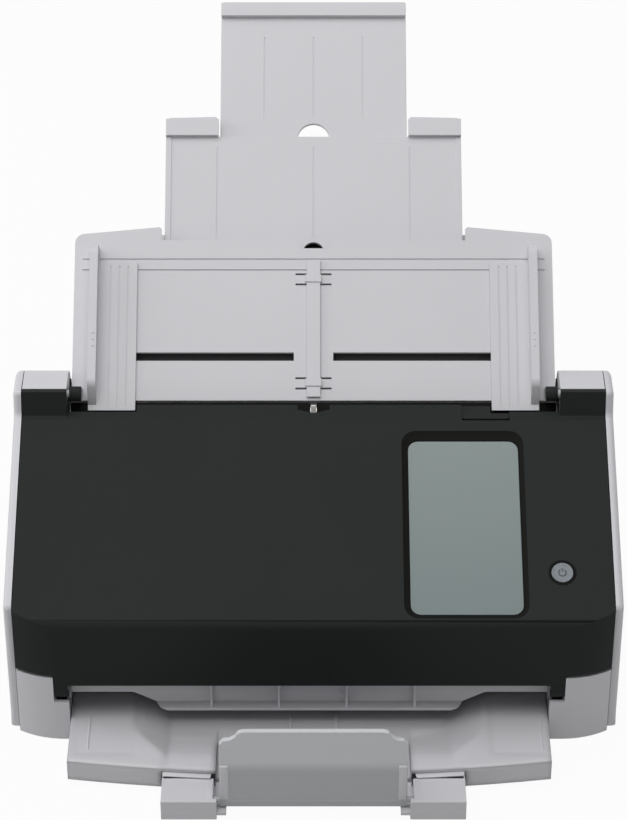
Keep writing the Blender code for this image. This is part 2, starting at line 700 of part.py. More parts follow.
def make_drive():
    ends = (GEAR_X - 2, FRAME_INNER + FRAME_THICK + 2)
    bore = SHAFT_DIA + 2 * FIT
    for name, axle in (("eject", EJECT_AXLE), ("feed", FEED_AXLE), ("pick", PICK_AXLE)):
        rod(f"{name}_shaft", [(*ends, SHAFT_DIA / 2)], axle, BODY, STEEL)
    for name, axle in (("eject", EJECT_AXLE), ("feed", FEED_AXLE)):
        for side, x in (("left", -ROLLER_X), ("right", ROLLER_X)):
            roller(f"{name}_roller_{side}", x, ROLLER_WIDTH, DRIVE_ROLLER_DIA, axle, bore)
    roller("pick_roller", 0, PICK_WIDTH, PICK_ROLLER_DIA, PICK_AXLE, bore)

    through = -(FRAME_INNER - FIT)
    idler = 0.0
    to_motor = direction_between(DRIVE_IDLER_AXLE, MOTOR_AXLE)
    pinion = meshing_phase(DRIVE_IDLER_TEETH, idler, PINION_TEETH, to_motor)
    to_eject = direction_between(DRIVE_IDLER_AXLE, EJECT_AXLE)
    eject = meshing_phase(DRIVE_IDLER_TEETH, idler, SHAFT_GEAR_TEETH, to_eject)
    to_feed = direction_between(DRIVE_IDLER_AXLE, FEED_AXLE)
    feed = meshing_phase(DRIVE_IDLER_TEETH, idler, SHAFT_GEAR_TEETH, to_feed)
    to_idler = direction_between(FEED_AXLE, PICK_IDLER_AXLE)
    pick_idler = meshing_phase(SHAFT_GEAR_TEETH, feed, PICK_IDLER_TEETH, to_idler)
    to_pick = direction_between(PICK_IDLER_AXLE, PICK_AXLE)
    pick = meshing_phase(PICK_IDLER_TEETH, pick_idler, SHAFT_GEAR_TEETH, to_pick)
    gear("drive_idler_gear", DRIVE_IDLER_TEETH, idler, DRIVE_IDLER_AXLE, stub=through, parent=BODY)
    gear("motor_pinion", PINION_TEETH, pinion, MOTOR_AXLE, stub=-FRAME_INNER, parent=BODY)
    gear("eject_gear", SHAFT_GEAR_TEETH, eject, EJECT_AXLE, bore, parent=BODY)
    gear("feed_gear", SHAFT_GEAR_TEETH, feed, FEED_AXLE, bore, parent=BODY)
    gear("pick_idler_gear", PICK_IDLER_TEETH, pick_idler, PICK_IDLER_AXLE, stub=through, parent=BODY)
    gear("pick_gear", SHAFT_GEAR_TEETH, pick, PICK_AXLE, bore, parent=BODY)
    face = -(FRAME_INNER - FIT)
    rod("drive_motor", [(face, face + MOTOR_LENGTH, MOTOR_DIA / 2)], MOTOR_AXLE, BODY, STEEL, 32)


# Main board and the sockets that reach through the rear cover
def make_electronics():
    block("main_board", *BOARD, BOARD_Z, BOARD_Z + BOARD_THICK, BODY, BOARD_GREEN)
    low = BOARD_Z + BOARD_THICK + FIT
    for name, (left, right, height) in PORTS.items():
        socket = block(name, left, right, 119, BODY_DEPTH - 0.3, low, low + height, BODY, BLACK_PLASTIC)
        cut(socket, block("mouth", left + 1.5, right - 1.5, 124, 140, low + 1.8, low + height - 1.8, BODY))


# Cover: a hollow wedge with ears and hinge legs
COVER_UNDER = PATH_GAP / 2 + GUIDE_THICK + FIT


def make_cover_shell():
    crease = panel_point(PANEL_LENGTH, 0)
    fall = CREASE_ROUND * math.tan(math.radians(45 - PANEL_SLOPE / 2))
    bend = arc((CREASE_ROUND, CREASE_HEIGHT - fall), CREASE_ROUND, 180, 90 + PANEL_SLOPE, 5)
    outer = [(0, FRONT_BOTTOM), *bend, crease, (LIP_Y, LIP_Z), path_point(130.2, 4.6),
             path_point(120, COVER_UNDER), path_point(-1, COVER_UNDER), (WALL, FRONT_BOTTOM)]
    shell = profile("cover_shell", outer, -COVER_HALF, COVER_HALF, COVER_BODY, DARK_PLASTIC)
    cut(shell, block("lip_trim", LIP_CUT_FROM, 160, LIP_Y - LIP_CUT, 150, 90, 150, COVER_BODY))
    cut(shell, block("lip_trim", -160, -LIP_CUT_FROM, LIP_Y - LIP_CUT, 150, 90, 150, COVER_BODY))
    ear = [panel_point(PANEL_LENGTH - 8, -3), panel_point(PANEL_LENGTH + 3, 0), (EAR_FRONT, EAR_TOP),
           (EAR_FRONT + WALL, EAR_TOP), (EAR_FRONT + WALL, LIP_Z - 6)]
    for sign in (-1, 1):
        ends = sorted((sign * EAR_INNER, sign * COVER_HALF))
        add(shell, profile("ear", ear, *ends, COVER_BODY))
    combine(shell, plate("front_bow", plan_outline(COVER_HALF, 0, 150), 0, 160, COVER_BODY), "INTERSECT")

    inner = [(WALL, FRONT_BOTTOM - 20), (WALL, CREASE_HEIGHT - 1.6), panel_point(PANEL_LENGTH - 4, -WALL),
             path_point(118, COVER_UNDER + 1), path_point(117, -12), path_point(-10, -12)]
    half = COVER_HALF - WALL
    hollow = profile("hollow", inner, -half, half, COVER_BODY)
    bow = plate("inner_bow", plan_outline(half, WALL, 150, BOW_FROM - WALL / 2), -20, 160, COVER_BODY)
    combine(hollow, bow, "INTERSECT")
    cut(shell, hollow)
    for sign, leg in ((-1, LEG_SPANS[0]), (1, LEG_SPANS[1])):
        outer_x = leg[0] if sign < 0 else leg[1]
        ends = sorted((outer_x, sign * 160))
        cut(shell, block("corner_rise", *ends, -5, 22, 20, BLOCK_TOP + SWING_GAP, COVER_BODY))
        shape = arc(PIVOT, LEG_RADIUS, 180, 360, 8)
        shape += [(COVER_PIVOT_Y + LEG_RADIUS, 37), (WALL - 0.5, 50), (0.5, 50)]
        leg_piece = profile("leg", shape, *leg, COVER_BODY)
        cut(leg_piece, rod("pin_hole", [(leg[0] - 1, leg[1] + 1, PIN_DIA / 2 + FIT)], PIVOT, COVER_BODY))
        add(shell, leg_piece)

    window = rounded(GLASS_X - GLASS_WIDTH / 2 - FIT, GLASS_X + GLASS_WIDTH / 2 + FIT,
                     GLASS_FROM_CREASE - GLASS_LENGTH / 2 - FIT, GLASS_FROM_CREASE + GLASS_LENGTH / 2 + FIT,
                     GLASS_CORNER)
    left, right = GLASS_X - GLASS_WIDTH / 2, GLASS_X + GLASS_WIDTH / 2
    near, far = GLASS_FROM_CREASE - GLASS_LENGTH / 2, GLASS_FROM_CREASE + GLASS_LENGTH / 2
    rim = GLASS_RIM
    floor = rounded(left - rim, right + rim, near - rim, far + rim, GLASS_CORNER + rim)
    mouth = rounded(left - 3.2, right + 2.6, near - 2.6, far + 5.2, GLASS_CORNER + 2.2)
    cut(shell, plate("window", window, -8, 5, PANEL))
    cut(shell, funnel("rim", floor, mouth, -GLASS_SINK, 0.02, PANEL))
    cut(shell, disc("button_hole", BUTTON_X, BUTTON_FROM_CREASE, BUTTON_DIA / 2 + FIT, -8, 5, PANEL))
    notch = [(-8, LIP_Y + 2), (-8, LIP_Y - 3), (-1.5, LIP_Y - 5), (1.5, LIP_Y - 5), (8, LIP_Y - 3), (8, LIP_Y + 2)]
    cut(shell, plate("flag_notch", notch, 100, 140, COVER_BODY))
    tab = rectangle(TAB_X - TAB_WIDTH / 2 - FIT, TAB_X + TAB_WIDTH / 2 + FIT, 0.4, TAB_LENGTH + 8)
    return cut(shell, plate("tab_seat", tab, -TAB_THICK / 2 - FIT, 5, LIP))


LIP = empty("lip_frame", COVER_BODY, (0, CREASE_TOP_Y, CREASE_TOP_Z), LIP_SLOPE)


def make_release_tab():
    outline = rounded(TAB_X - TAB_WIDTH / 2, TAB_X + TAB_WIDTH / 2, 0.8, TAB_LENGTH - 1.6, 1.2, 3)
    return plate("release_tab", outline, -TAB_THICK / 2, TAB_THICK / 2, LIP, DARK_PLASTIC)


def make_screen():
    glass_left = GLASS_X - GLASS_WIDTH / 2
    glass_near = GLASS_FROM_CREASE - GLASS_LENGTH / 2
    outline = rounded(glass_left, glass_left + GLASS_WIDTH, glass_near, glass_near + GLASS_LENGTH, GLASS_CORNER)
    glass_low = -WALL - FIT
    plate("touch_glass", outline, glass_low, -GLASS_SINK, PANEL, SCREEN_GLASS)
    module_top = glass_low - FIT
    edge = 2.0
    block("display_module", glass_left - edge, glass_left + GLASS_WIDTH + edge, glass_near - edge,
          glass_near + GLASS_LENGTH + edge, module_top - DISPLAY_THICK, module_top, PANEL, BLACK_PLASTIC)
    board_top = module_top - DISPLAY_THICK - FIT
    block("control_board", glass_left, BUTTON_X + 8, 8, 48, board_top - BOARD_THICK, board_top, PANEL, BOARD_GREEN)
    stem = board_top + FIT + BUTTON_TRAVEL
    button = disc("power_button", 0, 0, BUTTON_DIA / 2, -2, 0.4, None, BUTTON_GREY, 32)
    add(button, disc("stem", 0, 0, 2.2, stem, -1))
    button.parent = PANEL
    button.location = (BUTTON_X * MM, BUTTON_FROM_CREASE * MM, 0)
    return button


PINCH_AXLES = (("eject_pinch_roller", EJECT_AT), ("feed_pinch_roller", FEED_AT))
AXLE_DIA = 3.6
LUG_AT = 60.0


def lug(frame, x, along, proud):
    outline = arc((along, proud), 3.4, 0, 180, 8) + [(along - 3.4, 1), (along + 3.4, 1)]
    return profile("lug", outline, x - 1.5, x + 1.5, frame)


def make_upper_guide():
    outline = rectangle(-GUIDE_HALF, GUIDE_HALF, 5, 116)
    low = PATH_GAP / 2
    guide = plate("upper_guide", outline, low, low + GUIDE_THICK, COVER_PATH, BLACK_PLASTIC)
    windows = list(roller_windows(EJECT_AT, PINCH_ROLLER_DIA, ROLLER_WIDTH, (-ROLLER_X, ROLLER_X)))
    windows += roller_windows(FEED_AT, PINCH_ROLLER_DIA, ROLLER_WIDTH, (-ROLLER_X, ROLLER_X))
    windows += roller_windows(PICK_AT, BRAKE_ROLLER_DIA, PICK_WIDTH, (0,))
    windows.append(rectangle(-SCAN_HALF, SCAN_HALF, SCAN_AT - SCAN_WIDTH / 2, SCAN_AT + SCAN_WIDTH / 2))
    for window in windows:
        cut(guide, plate("window", window, -9, 9, COVER_PATH))
    pinch = PINCH_ROLLER_DIA / 2 + FIT / 2
    brake = BRAKE_ROLLER_DIA / 2 + FIT / 2
    seats = [(at, pinch, x) for _, at in PINCH_AXLES for x in (-LUG_AT, LUG_AT)]
    seats += [(PICK_AT, brake, x) for x in (-PICK_WIDTH / 2 - 4, PICK_WIDTH / 2 + 4)]
    for along, proud, x in seats:
        holder = lug(COVER_PATH, x, along, proud)
        hole = rod("axle_hole", [(x - 3, x + 3, AXLE_DIA / 2 + FIT)], (along, proud), COVER_PATH)
        add(guide, cut(holder, hole))
    return guide


def make_pressure_rollers():
    axle = AXLE_DIA / 2
    wide = PINCH_ROLLER_DIA / 2
    inner = ROLLER_X - ROLLER_WIDTH / 2
    outer = ROLLER_X + ROLLER_WIDTH / 2
    for name, along in PINCH_AXLES:
        sections = [(-LUG_AT - 3, -outer, axle), (-outer, -inner, wide), (-inner, inner, axle),
                    (inner, outer, wide), (outer, LUG_AT + 3, axle)]
        rod(name, sections, (along, wide + FIT / 2), COVER_PATH, RUBBER)
    half = PICK_WIDTH / 2
    broad = BRAKE_ROLLER_DIA / 2
    sections = [(-half - 6.5, -half, axle), (-half, half, broad), (half, half + 6.5, axle)]
    rod("brake_roller", sections, (PICK_AT, broad + FIT / 2), COVER_PATH, RUBBER)


def make_hinge_pins():
    for side, sign, leg in (("left", -1, LEG_SPANS[0]), ("right", 1, LEG_SPANS[1])):
        outer = leg[0] if sign < 0 else leg[1]
        inner = leg[1] if sign < 0 else leg[0]
        ends = sorted((inner, outer + sign * 6.5))
        rod(f"cover_pin_{side}", [(*ends, PIN_DIA / 2)], PIVOT, BODY, STEEL, 16)


# Chute: a front plate with side walls and hinge lugs, a back plate and two pull-out extensions
CHUTE_HALF = CHUTE_WIDTH / 2
MID_TOP = -CHUTE_SKIN - FIT - RACK_THICK - 2 * FIT
MID_LOW = MID_TOP - MID_THICK
TOP_TOP = MID_LOW - SEAM
TOP_LOW = TOP_TOP - TOP_THICK
RACK_TOP = -CHUTE_SKIN - FIT
PINION_RADIUS = GEAR_MODULE * GUIDE_PINION_TEETH / 2


RAIL_CLIPS = (9.0, 64.0)
CLIP_SLIT = 2.7


def make_chute_front():
    gate = MID_WIDTH / 2 + 1.2
    top = CHUTE_LENGTH
    shoulder = top + CHUTE_SHOULDER
    right = [(CHUTE_HALF, 0)] + arc((CHUTE_HALF - 5, top - 1.6), 5, 0, 82, 6)
    right += [(gate + 1, shoulder), (gate, shoulder - 1), (gate, top)]
    right += [(11.5, top), (9, top - 1.5), (6.5, top - 4.4)]
    front = plate("chute_front", right + mirrored(right), -CHUTE_SKIN, 0, FACE, LIGHT_PLASTIC)
    inside = -CHUTE_DEPTH + CHUTE_SKIN + FIT
    add(front, block("toe", -CHUTE_HALF, CHUTE_HALF, 0, 2, inside, -1, FACE))
    for sign in (-1, 1):
        ends = sorted((sign * CHUTE_HALF, sign * (CHUTE_HALF - WALL)))
        add(front, block("side", *ends, 0, top - 2, inside, -1, FACE))
        span = sorted((sign * SLOT_INNER, sign * (GUIDE_SPAN / 2)))
        half = SLOT_HEIGHT / 2
        cut(front, block("slot", *span, SLOT_AT - half, SLOT_AT + half, -9, 9, FACE))
        arm = arc((CHUTE_AXIS_ALONG, CHUTE_AXIS_PROUD), LUG_RADIUS, 0, 180, 8) + [(0.2, -2), (7, -2)]
        ends = sorted((sign * CHUTE_HALF, sign * (CHUTE_HALF - LUG_WIDTH)))
        holder = profile("hinge_lug", arm, *ends, FACE)
        reach = sorted((sign * (CHUTE_HALF - 2), sign * (EAR_INNER + WALL)))
        add(holder, rod("pin", [(*reach, PIN_DIA / 2)], (CHUTE_AXIS_ALONG, CHUTE_AXIS_PROUD), FACE))
        add(front, holder)
        for along in RAIL_CLIPS:
            for step in (-CLIP_SLIT, CLIP_SLIT):
                span = sorted((sign * (RAIL_WIDTH / 2), sign * (RAIL_WIDTH / 2 + 5.6)))
                cut(front, block("slit", *span, along + step - 0.5, along + step + 0.5, -9, 9, FACE))
    for along in (top - 10.3, top - 16.1):
        cut(front, block("step_line", -CHUTE_HALF + 4, CHUTE_HALF - 4, along - 0.4, along + 0.4, -0.6, 2, FACE))
    return add(front, disc("pinion_post", 0, SLOT_AT, 2, RACK_TOP - RACK_THICK, -1, FACE))


def make_chute_back():
    outline = rounded(-CHUTE_HALF, CHUTE_HALF, 0, CHUTE_LENGTH + CHUTE_SHOULDER / 2, 3, 3)
    return plate("chute_back", outline, -CHUTE_DEPTH, -CHUTE_DEPTH + CHUTE_SKIN, FACE, LIGHT_PLASTIC)


def make_centre_rail():
    half = RAIL_WIDTH / 2
    outline = [(-half, 1.5), (half, 1.5), (half, RAIL_LENGTH), (-half, RAIL_LENGTH)]
    rail = plate("centre_rail", outline, FIT, FIT + 1.3, FACE, LIGHT_PLASTIC)
    for along in RAIL_CLIPS:
        add(rail, block("clip", -half - 0.6, half + 0.6, along - 1.9, along + 1.9, FIT, FIT + 1.9, FACE))
    return rail


def make_extensions():
    half = MID_WIDTH / 2
    top_half = TOP_WIDTH / 2
    gate = top_half + 0.8
    mid_top = MID_REACH + MID_SHOULDER
    right = [(half, CHUTE_LENGTH - 25), (half, mid_top - 2), (half - 2, mid_top - 0.6), (gate + 1.5, mid_top),
             (gate, mid_top - 1.5), (gate, MID_REACH)]
    mid = plate("mid_extension", right + mirrored(right), MID_LOW, MID_TOP, FACE, LIGHT_PLASTIC)
    for sign in (-1, 1):
        ends = sorted((sign * half, sign * gate))
        add(mid, block("shoulder", *ends, MID_REACH, mid_top - 2, MID_LOW, MID_TOP + 2.6, FACE))
        rim = sorted((sign * half, sign * (half - 4)))
        add(mid, block("rim", *rim, CHUTE_LENGTH - 25, MID_REACH, -CHUTE_DEPTH + CHUTE_SKIN + FIT, MID_LOW + 0.5, FACE))
    cut(mid, disc("finger_hole", 0, CHUTE_LENGTH - 4.6, 5.4, -30, 5, FACE))
    for x in (-49.5, 0, 49.5):
        cut(mid, block("line", x - 0.35, x + 0.35, CHUTE_LENGTH + 2, MID_REACH - 6, MID_TOP - 0.3, 9, FACE))
    low = MID_REACH - 20.5
    top = rounded(-top_half, top_half, low, TOP_REACH, 1.5, 3)
    sheet = plate("top_extension", top, TOP_LOW, TOP_TOP, FACE, LIGHT_PLASTIC)
    add(sheet, block("lip", -top_half, top_half, TOP_REACH - TOP_LIP, TOP_REACH - 1.5, TOP_LOW, MID_TOP, FACE))
    for x in (-25.5, 0, 25.5):
        cut(sheet, block("line", x - 0.35, x + 0.35, MID_REACH + 12, TOP_REACH - 20, TOP_TOP - 0.3, 9, FACE))
    return cut(sheet, disc("finger_hole", 0, MID_REACH, FINGER_RADIUS, -30, 5, FACE, sides=32))


# Paper side guides, each with a rack that meets the pinion
def rack_outline(left, right, pitch_line, depth):
    """A straight rack with its teeth towards lower values, a gap at zero and a solid back."""
    pitch = math.pi * GEAR_MODULE
    slope = math.tan(math.radians(20))
    half = pitch / 4 - BACKLASH * GEAR_MODULE / 2
    tip = pitch_line - 0.9 * GEAR_MODULE
    root = pitch_line + 1.15 * GEAR_MODULE
    points = [(left, root)]
    first = math.ceil(left / pitch + 0.5)
    last = math.floor(right / pitch - 0.5)
    for tooth in range(first, last):
        middle = (tooth + 0.5) * pitch
        wide = half + 1.15 * slope * GEAR_MODULE
        narrow = half - 0.9 * slope * GEAR_MODULE
        points += [(middle - wide, root), (middle - narrow, tip), (middle + narrow, tip), (middle + wide, root)]
    return points + [(right, root), (right, root + depth), (left, root + depth)]


def turned(outline):
    """An outline turned half round about the pinion."""
    return [(-x, 2 * SLOT_AT - y) for x, y in outline]


def make_guide(name, sign):
    inner = GUIDE_SPAN / 2 - GUIDE_PLATE_WIDTH
    outer = GUIDE_SPAN / 2
    ends = sorted((sign * inner, sign * (outer + FIN_THICK)))
    face = FIT + GUIDE_PLATE_THICK
    floor = [(-GUIDE_BELOW, face - 0.6), (2 - GUIDE_BELOW / 2, FIT), (GUIDE_TOP, FIT), (GUIDE_TOP, face), (-GUIDE_BELOW, face)]
    guide = profile(name, floor, *ends, FACE, LIGHT_PLASTIC)
    fin_ends = sorted((sign * outer, sign * (outer + FIN_THICK)))
    tip = GUIDE_TOP + 8
    fin = [(-2.4, FIT), (tip, FIT), (tip, FIN_HEIGHT - 6)] + arc((tip - 6, FIN_HEIGHT - 6), 6, 0, 90, 5)
    fin += arc((8.5, FIN_HEIGHT - 6), 6, 90, 150, 4) + [(-0.4, 4.2), (-2.4, 2.2)]
    for step in (4.6, 9.0, 13.4):
        line = sorted((sign * (inner + step - 0.35), sign * (inner + step + 0.35)))
        cut(guide, block("line", *line, -GUIDE_BELOW + 2, GUIDE_TOP - 2, face - 0.35, 9, FACE))
    add(guide, profile("fin", fin, *fin_ends, FACE))
    foot_ends = sorted((sign * (inner + 3), sign * (outer - 4)))
    half = SLOT_HEIGHT / 2 - FIT
    low = RACK_TOP - RACK_THICK
    add(guide, block("foot", *foot_ends, SLOT_AT - half, SLOT_AT + half, low, FIT + 0.5, FACE))
    rack_line = SLOT_AT + PINION_RADIUS
    rack = rack_outline(-(outer - 4), 9.0, rack_line, 3.0)
    arm = rectangle(-(outer - 4), -(inner + 3), SLOT_AT - half, rack_line + 3)
    if sign > 0:
        rack = turned(rack)
        arm = turned(arm)
    add(guide, plate("arm", arm, low, RACK_TOP, FACE))
    return add(guide, plate("rack", rack, low, RACK_TOP, FACE))


def make_guide_pinion():
    outline = gear_outline(GUIDE_PINION_TEETH, math.pi / 2)
    low = RACK_TOP - RACK_THICK
    pinion = plate("guide_pinion", outline, low, RACK_TOP, FACE, WHITE_GEAR)
    cut(pinion, disc("bore", 0, 0, 2 + FIT, -30, 5, FACE))
    pinion.location = (0, SLOT_AT * MM, 0)
    return pinion


# Stacker: a bowed tray with an extension and a fold-down stopper
def bowed_front(left, right, back, setback=0.0, steps=16):
    points = []
    for step in range(steps + 1):
        x = left + (right - left) * step / steps
        fall = STACKER_BOW - math.sqrt(STACKER_BOW ** 2 - (x - EXIT_SHIFT) ** 2)
        points.append((x, -STACKER_FRONT + fall + setback))
    return points + [(right, back), (left, back)]


SCOOP = ((-34.0, 0.0), (-29.0, 0.04), (-25.0, 0.14), (-20.0, 0.37), (-14.0, 0.67), (-8.0, 0.89), (0.0, 1.0), (66.0, 1.0))


def scoop_cutter(grow):
    """A trough that starts level with the deck near the front and widens as it deepens to the back."""
    mesh = bpy.data.meshes.new("scoop")
    bm = bmesh.new()
    deep = STACKER_DECK - VALLEY_FLOOR
    lift = 4.0
    spread = SCOOP_SPREAD / deep
    rings = []
    for y, share in SCOOP:
        low = STACKER_DECK - deep * share - grow
        high = STACKER_DECK + lift
        wide = SCOOP_HALF + spread * (high - low - grow)
        corners = [(-SCOOP_HALF, low), (SCOOP_HALF, low), (wide, high), (-wide, high)]
        rings.append([bm.verts.new(((EXIT_SHIFT + x) * MM, y * MM, z * MM)) for x, z in corners])
    for near, far in zip(rings, rings[1:]):
        for k in range(4):
            bm.faces.new((near[k], near[(k + 1) % 4], far[(k + 1) % 4], far[k]))
    bm.faces.new(rings[0])
    bm.faces.new(rings[-1])
    bmesh.ops.recalc_face_normals(bm, faces=bm.faces)
    bm.to_mesh(mesh)
    bm.free()
    return link("scoop", mesh, BODY)


def make_stacker_tray():
    left = EXIT_LEFT + FIT + 0.2
    right = EXIT_RIGHT - FIT - 0.2
    under = STACKER_DECK - DECK_THICK
    floor = VALLEY_FLOOR - DECK_THICK
    tray = plate("stacker_tray", bowed_front(left, right, STACKER_BACK), STACKER_BOTTOM, STACKER_DECK,
                 BODY, LIGHT_PLASTIC)
    channel = EXTENSION_WIDTH / 2 + FIT
    inner = VALLEY_HALF + DECK_THICK
    pocket = EXIT_SHIFT + SCOOP_HALF + SCOOP_SPREAD + DECK_THICK
    past = STACKER_BACK + 9
    cut(tray, block("wing_pocket", left + DECK_THICK, -pocket, -27, STACKER_BACK - 2, -1, under, BODY))
    cut(tray, block("wing_pocket", pocket, right - DECK_THICK, -27, STACKER_BACK - 2, -1, under, BODY))
    cut(tray, scoop_cutter(0.0))
    roof = [(-70, -1), (-70, under)] + [(y, STACKER_DECK - (STACKER_DECK - VALLEY_FLOOR) * share - DECK_THICK)
                                        for y, share in SCOOP] + [(66, -1)]
    for sign in (-1, 1):
        ends = sorted((sign * inner, sign * channel))
        cut(tray, profile("tunnel", roof, *ends, BODY))
        ends = sorted((sign * (VALLEY_HALF - 1), sign * (inner + 1)))
        cut(tray, block("pin_slot", *ends, -70, STOPPER_AXIS_Y + EXTENSION_TRAVEL + 3, STOPPER_AXIS_Z - 1.9,
                        STOPPER_AXIS_Z + 1.9, BODY))
    cut(tray, block("tunnel", -inner - 0.4, inner + 0.4, -70, past, -2, floor, BODY))
    stow = STOPPER_AXIS_Y + EXTENSION_TRAVEL + 4
    cut(tray, block("stopper_bay", -VALLEY_HALF, VALLEY_HALF, -71, stow, -3, 31, BODY))
    return cut(tray, block("valley", -VALLEY_HALF, VALLEY_HALF, stow - 1, 2, VALLEY_FLOOR, 31, BODY))


def make_stacker_extension():
    half = EXTENSION_WIDTH / 2
    front = -EXTENSION_FRONT
    top = VALLEY_FLOOR - DECK_THICK - FIT
    arm = VALLEY_HALF - 5.5
    tray = block("stacker_extension", -half, half, front + 1, 12, STACKER_BOTTOM, top, BODY, LIGHT_PLASTIC)
    cut(tray, block("front_gap", -arm, arm, front - 1, STOPPER_AXIS_Y + 4, -1, 20, BODY))
    for sign in (-1, 1):
        ends = sorted((sign * (VALLEY_HALF + 3), sign * half))
        add(tray, block("side_block", *ends, front, -40.5, STACKER_BOTTOM, EXTENSION_TOP, BODY))
        ends = sorted((sign * (STOPPER_WIDTH / 2 + 1.5), sign * half))
        add(tray, block("front_lip", *ends, front, front + 2.5, 1.2, EXTENSION_TOP + 0.6, BODY))
        reach = sorted((sign * (VALLEY_HALF + 1), sign * (VALLEY_HALF + 6)))
        cut(tray, rod("pin_hole", [(*reach, 1.5 + FIT)], (STOPPER_AXIS_Y, STOPPER_AXIS_Z), BODY))
    return tray


def make_stopper():
    upright = empty("stopper_face", STOPPER, (0, 0, 0), 90)
    half = STOPPER_WIDTH / 2
    raised = STOPPER_RAISED / 2
    top = STOPPER_TOP - STOPPER_AXIS_Z
    right = [(half, -3.4), (half, top - 7), (half - 2, top - 5), (raised + 5, top - 4.6), (raised + 2.4, top - 3),
             (raised + 1, top - 0.8), (raised - 1.5, top)]
    outline = right + mirrored(right)
    flap = plate("stopper", outline, -20, 20, upright, LIGHT_PLASTIC)
    face = [(-5, 0.0), (STOPPER_BEND, 0.0), (STOPPER_BEND + 4, -0.4), (top + 2, -STOPPER_LEAN)]
    thick = STOPPER_THICK / 2
    band = [(y, z + thick) for y, z in face] + [(y, z - thick) for y, z in reversed(face)]
    combine(flap, profile("band", band, -half - 1, half + 1, upright), "INTERSECT")
    pin = VALLEY_HALF + 5
    return add(flap, rod("pin", [(-pin, pin, 1.5)], (0, 0), upright))


def make_base():
    make_bottom_pan()
    make_feet()
    make_side_cover("left_side_cover", -1)
    make_side_cover("right_side_cover", 1)
    make_rear_cover()
    make_frame("left_frame", -1)
    make_frame("right_frame", 1)
    make_lower_guide()
    make_sensor_flag()
    make_exit_wall()
    make_scan_units()
    make_drive()
    make_electronics()
    make_hinge_pins()


def make_cover():
    make_cover_shell()
    make_release_tab()
    make_screen()
    make_upper_guide()
    make_pressure_rollers()


def make_chute():
    make_chute_front()
    make_chute_back()
    make_centre_rail()
    make_extensions()
    make_guide("left_guide", -1)
    make_guide("right_guide", 1)
    make_guide_pinion()


def make_stacker():
    make_stacker_tray()
    make_stacker_extension()
    make_stopper()


make_base()
make_cover()
make_chute()
make_stacker()
bpy.context.view_layer.update()
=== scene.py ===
import math

import bmesh
import bpy
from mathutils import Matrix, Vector


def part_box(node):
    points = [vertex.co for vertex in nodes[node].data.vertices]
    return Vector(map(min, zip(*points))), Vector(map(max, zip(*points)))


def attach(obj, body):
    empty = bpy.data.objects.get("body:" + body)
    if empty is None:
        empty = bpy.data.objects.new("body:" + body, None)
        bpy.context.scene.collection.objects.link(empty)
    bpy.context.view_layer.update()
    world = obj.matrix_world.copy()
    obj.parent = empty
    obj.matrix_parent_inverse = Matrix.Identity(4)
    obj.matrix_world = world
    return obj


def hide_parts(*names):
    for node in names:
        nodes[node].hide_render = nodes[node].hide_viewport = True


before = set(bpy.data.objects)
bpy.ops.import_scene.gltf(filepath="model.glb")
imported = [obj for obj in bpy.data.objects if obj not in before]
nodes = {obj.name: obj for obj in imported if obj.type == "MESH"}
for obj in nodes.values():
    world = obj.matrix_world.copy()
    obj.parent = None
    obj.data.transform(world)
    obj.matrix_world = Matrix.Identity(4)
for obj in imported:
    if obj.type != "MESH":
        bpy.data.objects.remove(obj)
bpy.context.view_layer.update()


# Base shell: bottom pan with the two bowed front corners that carry the cover hinge.
# Injection moulded light grey ABS, screwed to the side frames from below.
# Sizes in this file are in metres.
def linear(code):
    parts = [int(code[i:i + 2], 16) / 255 for i in (1, 3, 5)]
    return tuple(c / 12.92 if c <= 0.04045 else ((c + 0.055) / 1.055) ** 2.4 for c in parts) + (1.0,)


def add_node(tree, kind, settings=None, inputs=None):
    made = tree.nodes.new(kind)
    for name, value in (settings or {}).items():
        setattr(made, name, value)
    for name, value in (inputs or {}).items():
        if isinstance(value, bpy.types.NodeSocket):
            tree.links.new(value, made.inputs[name])
        else:
            made.inputs[name].default_value = value
    return made


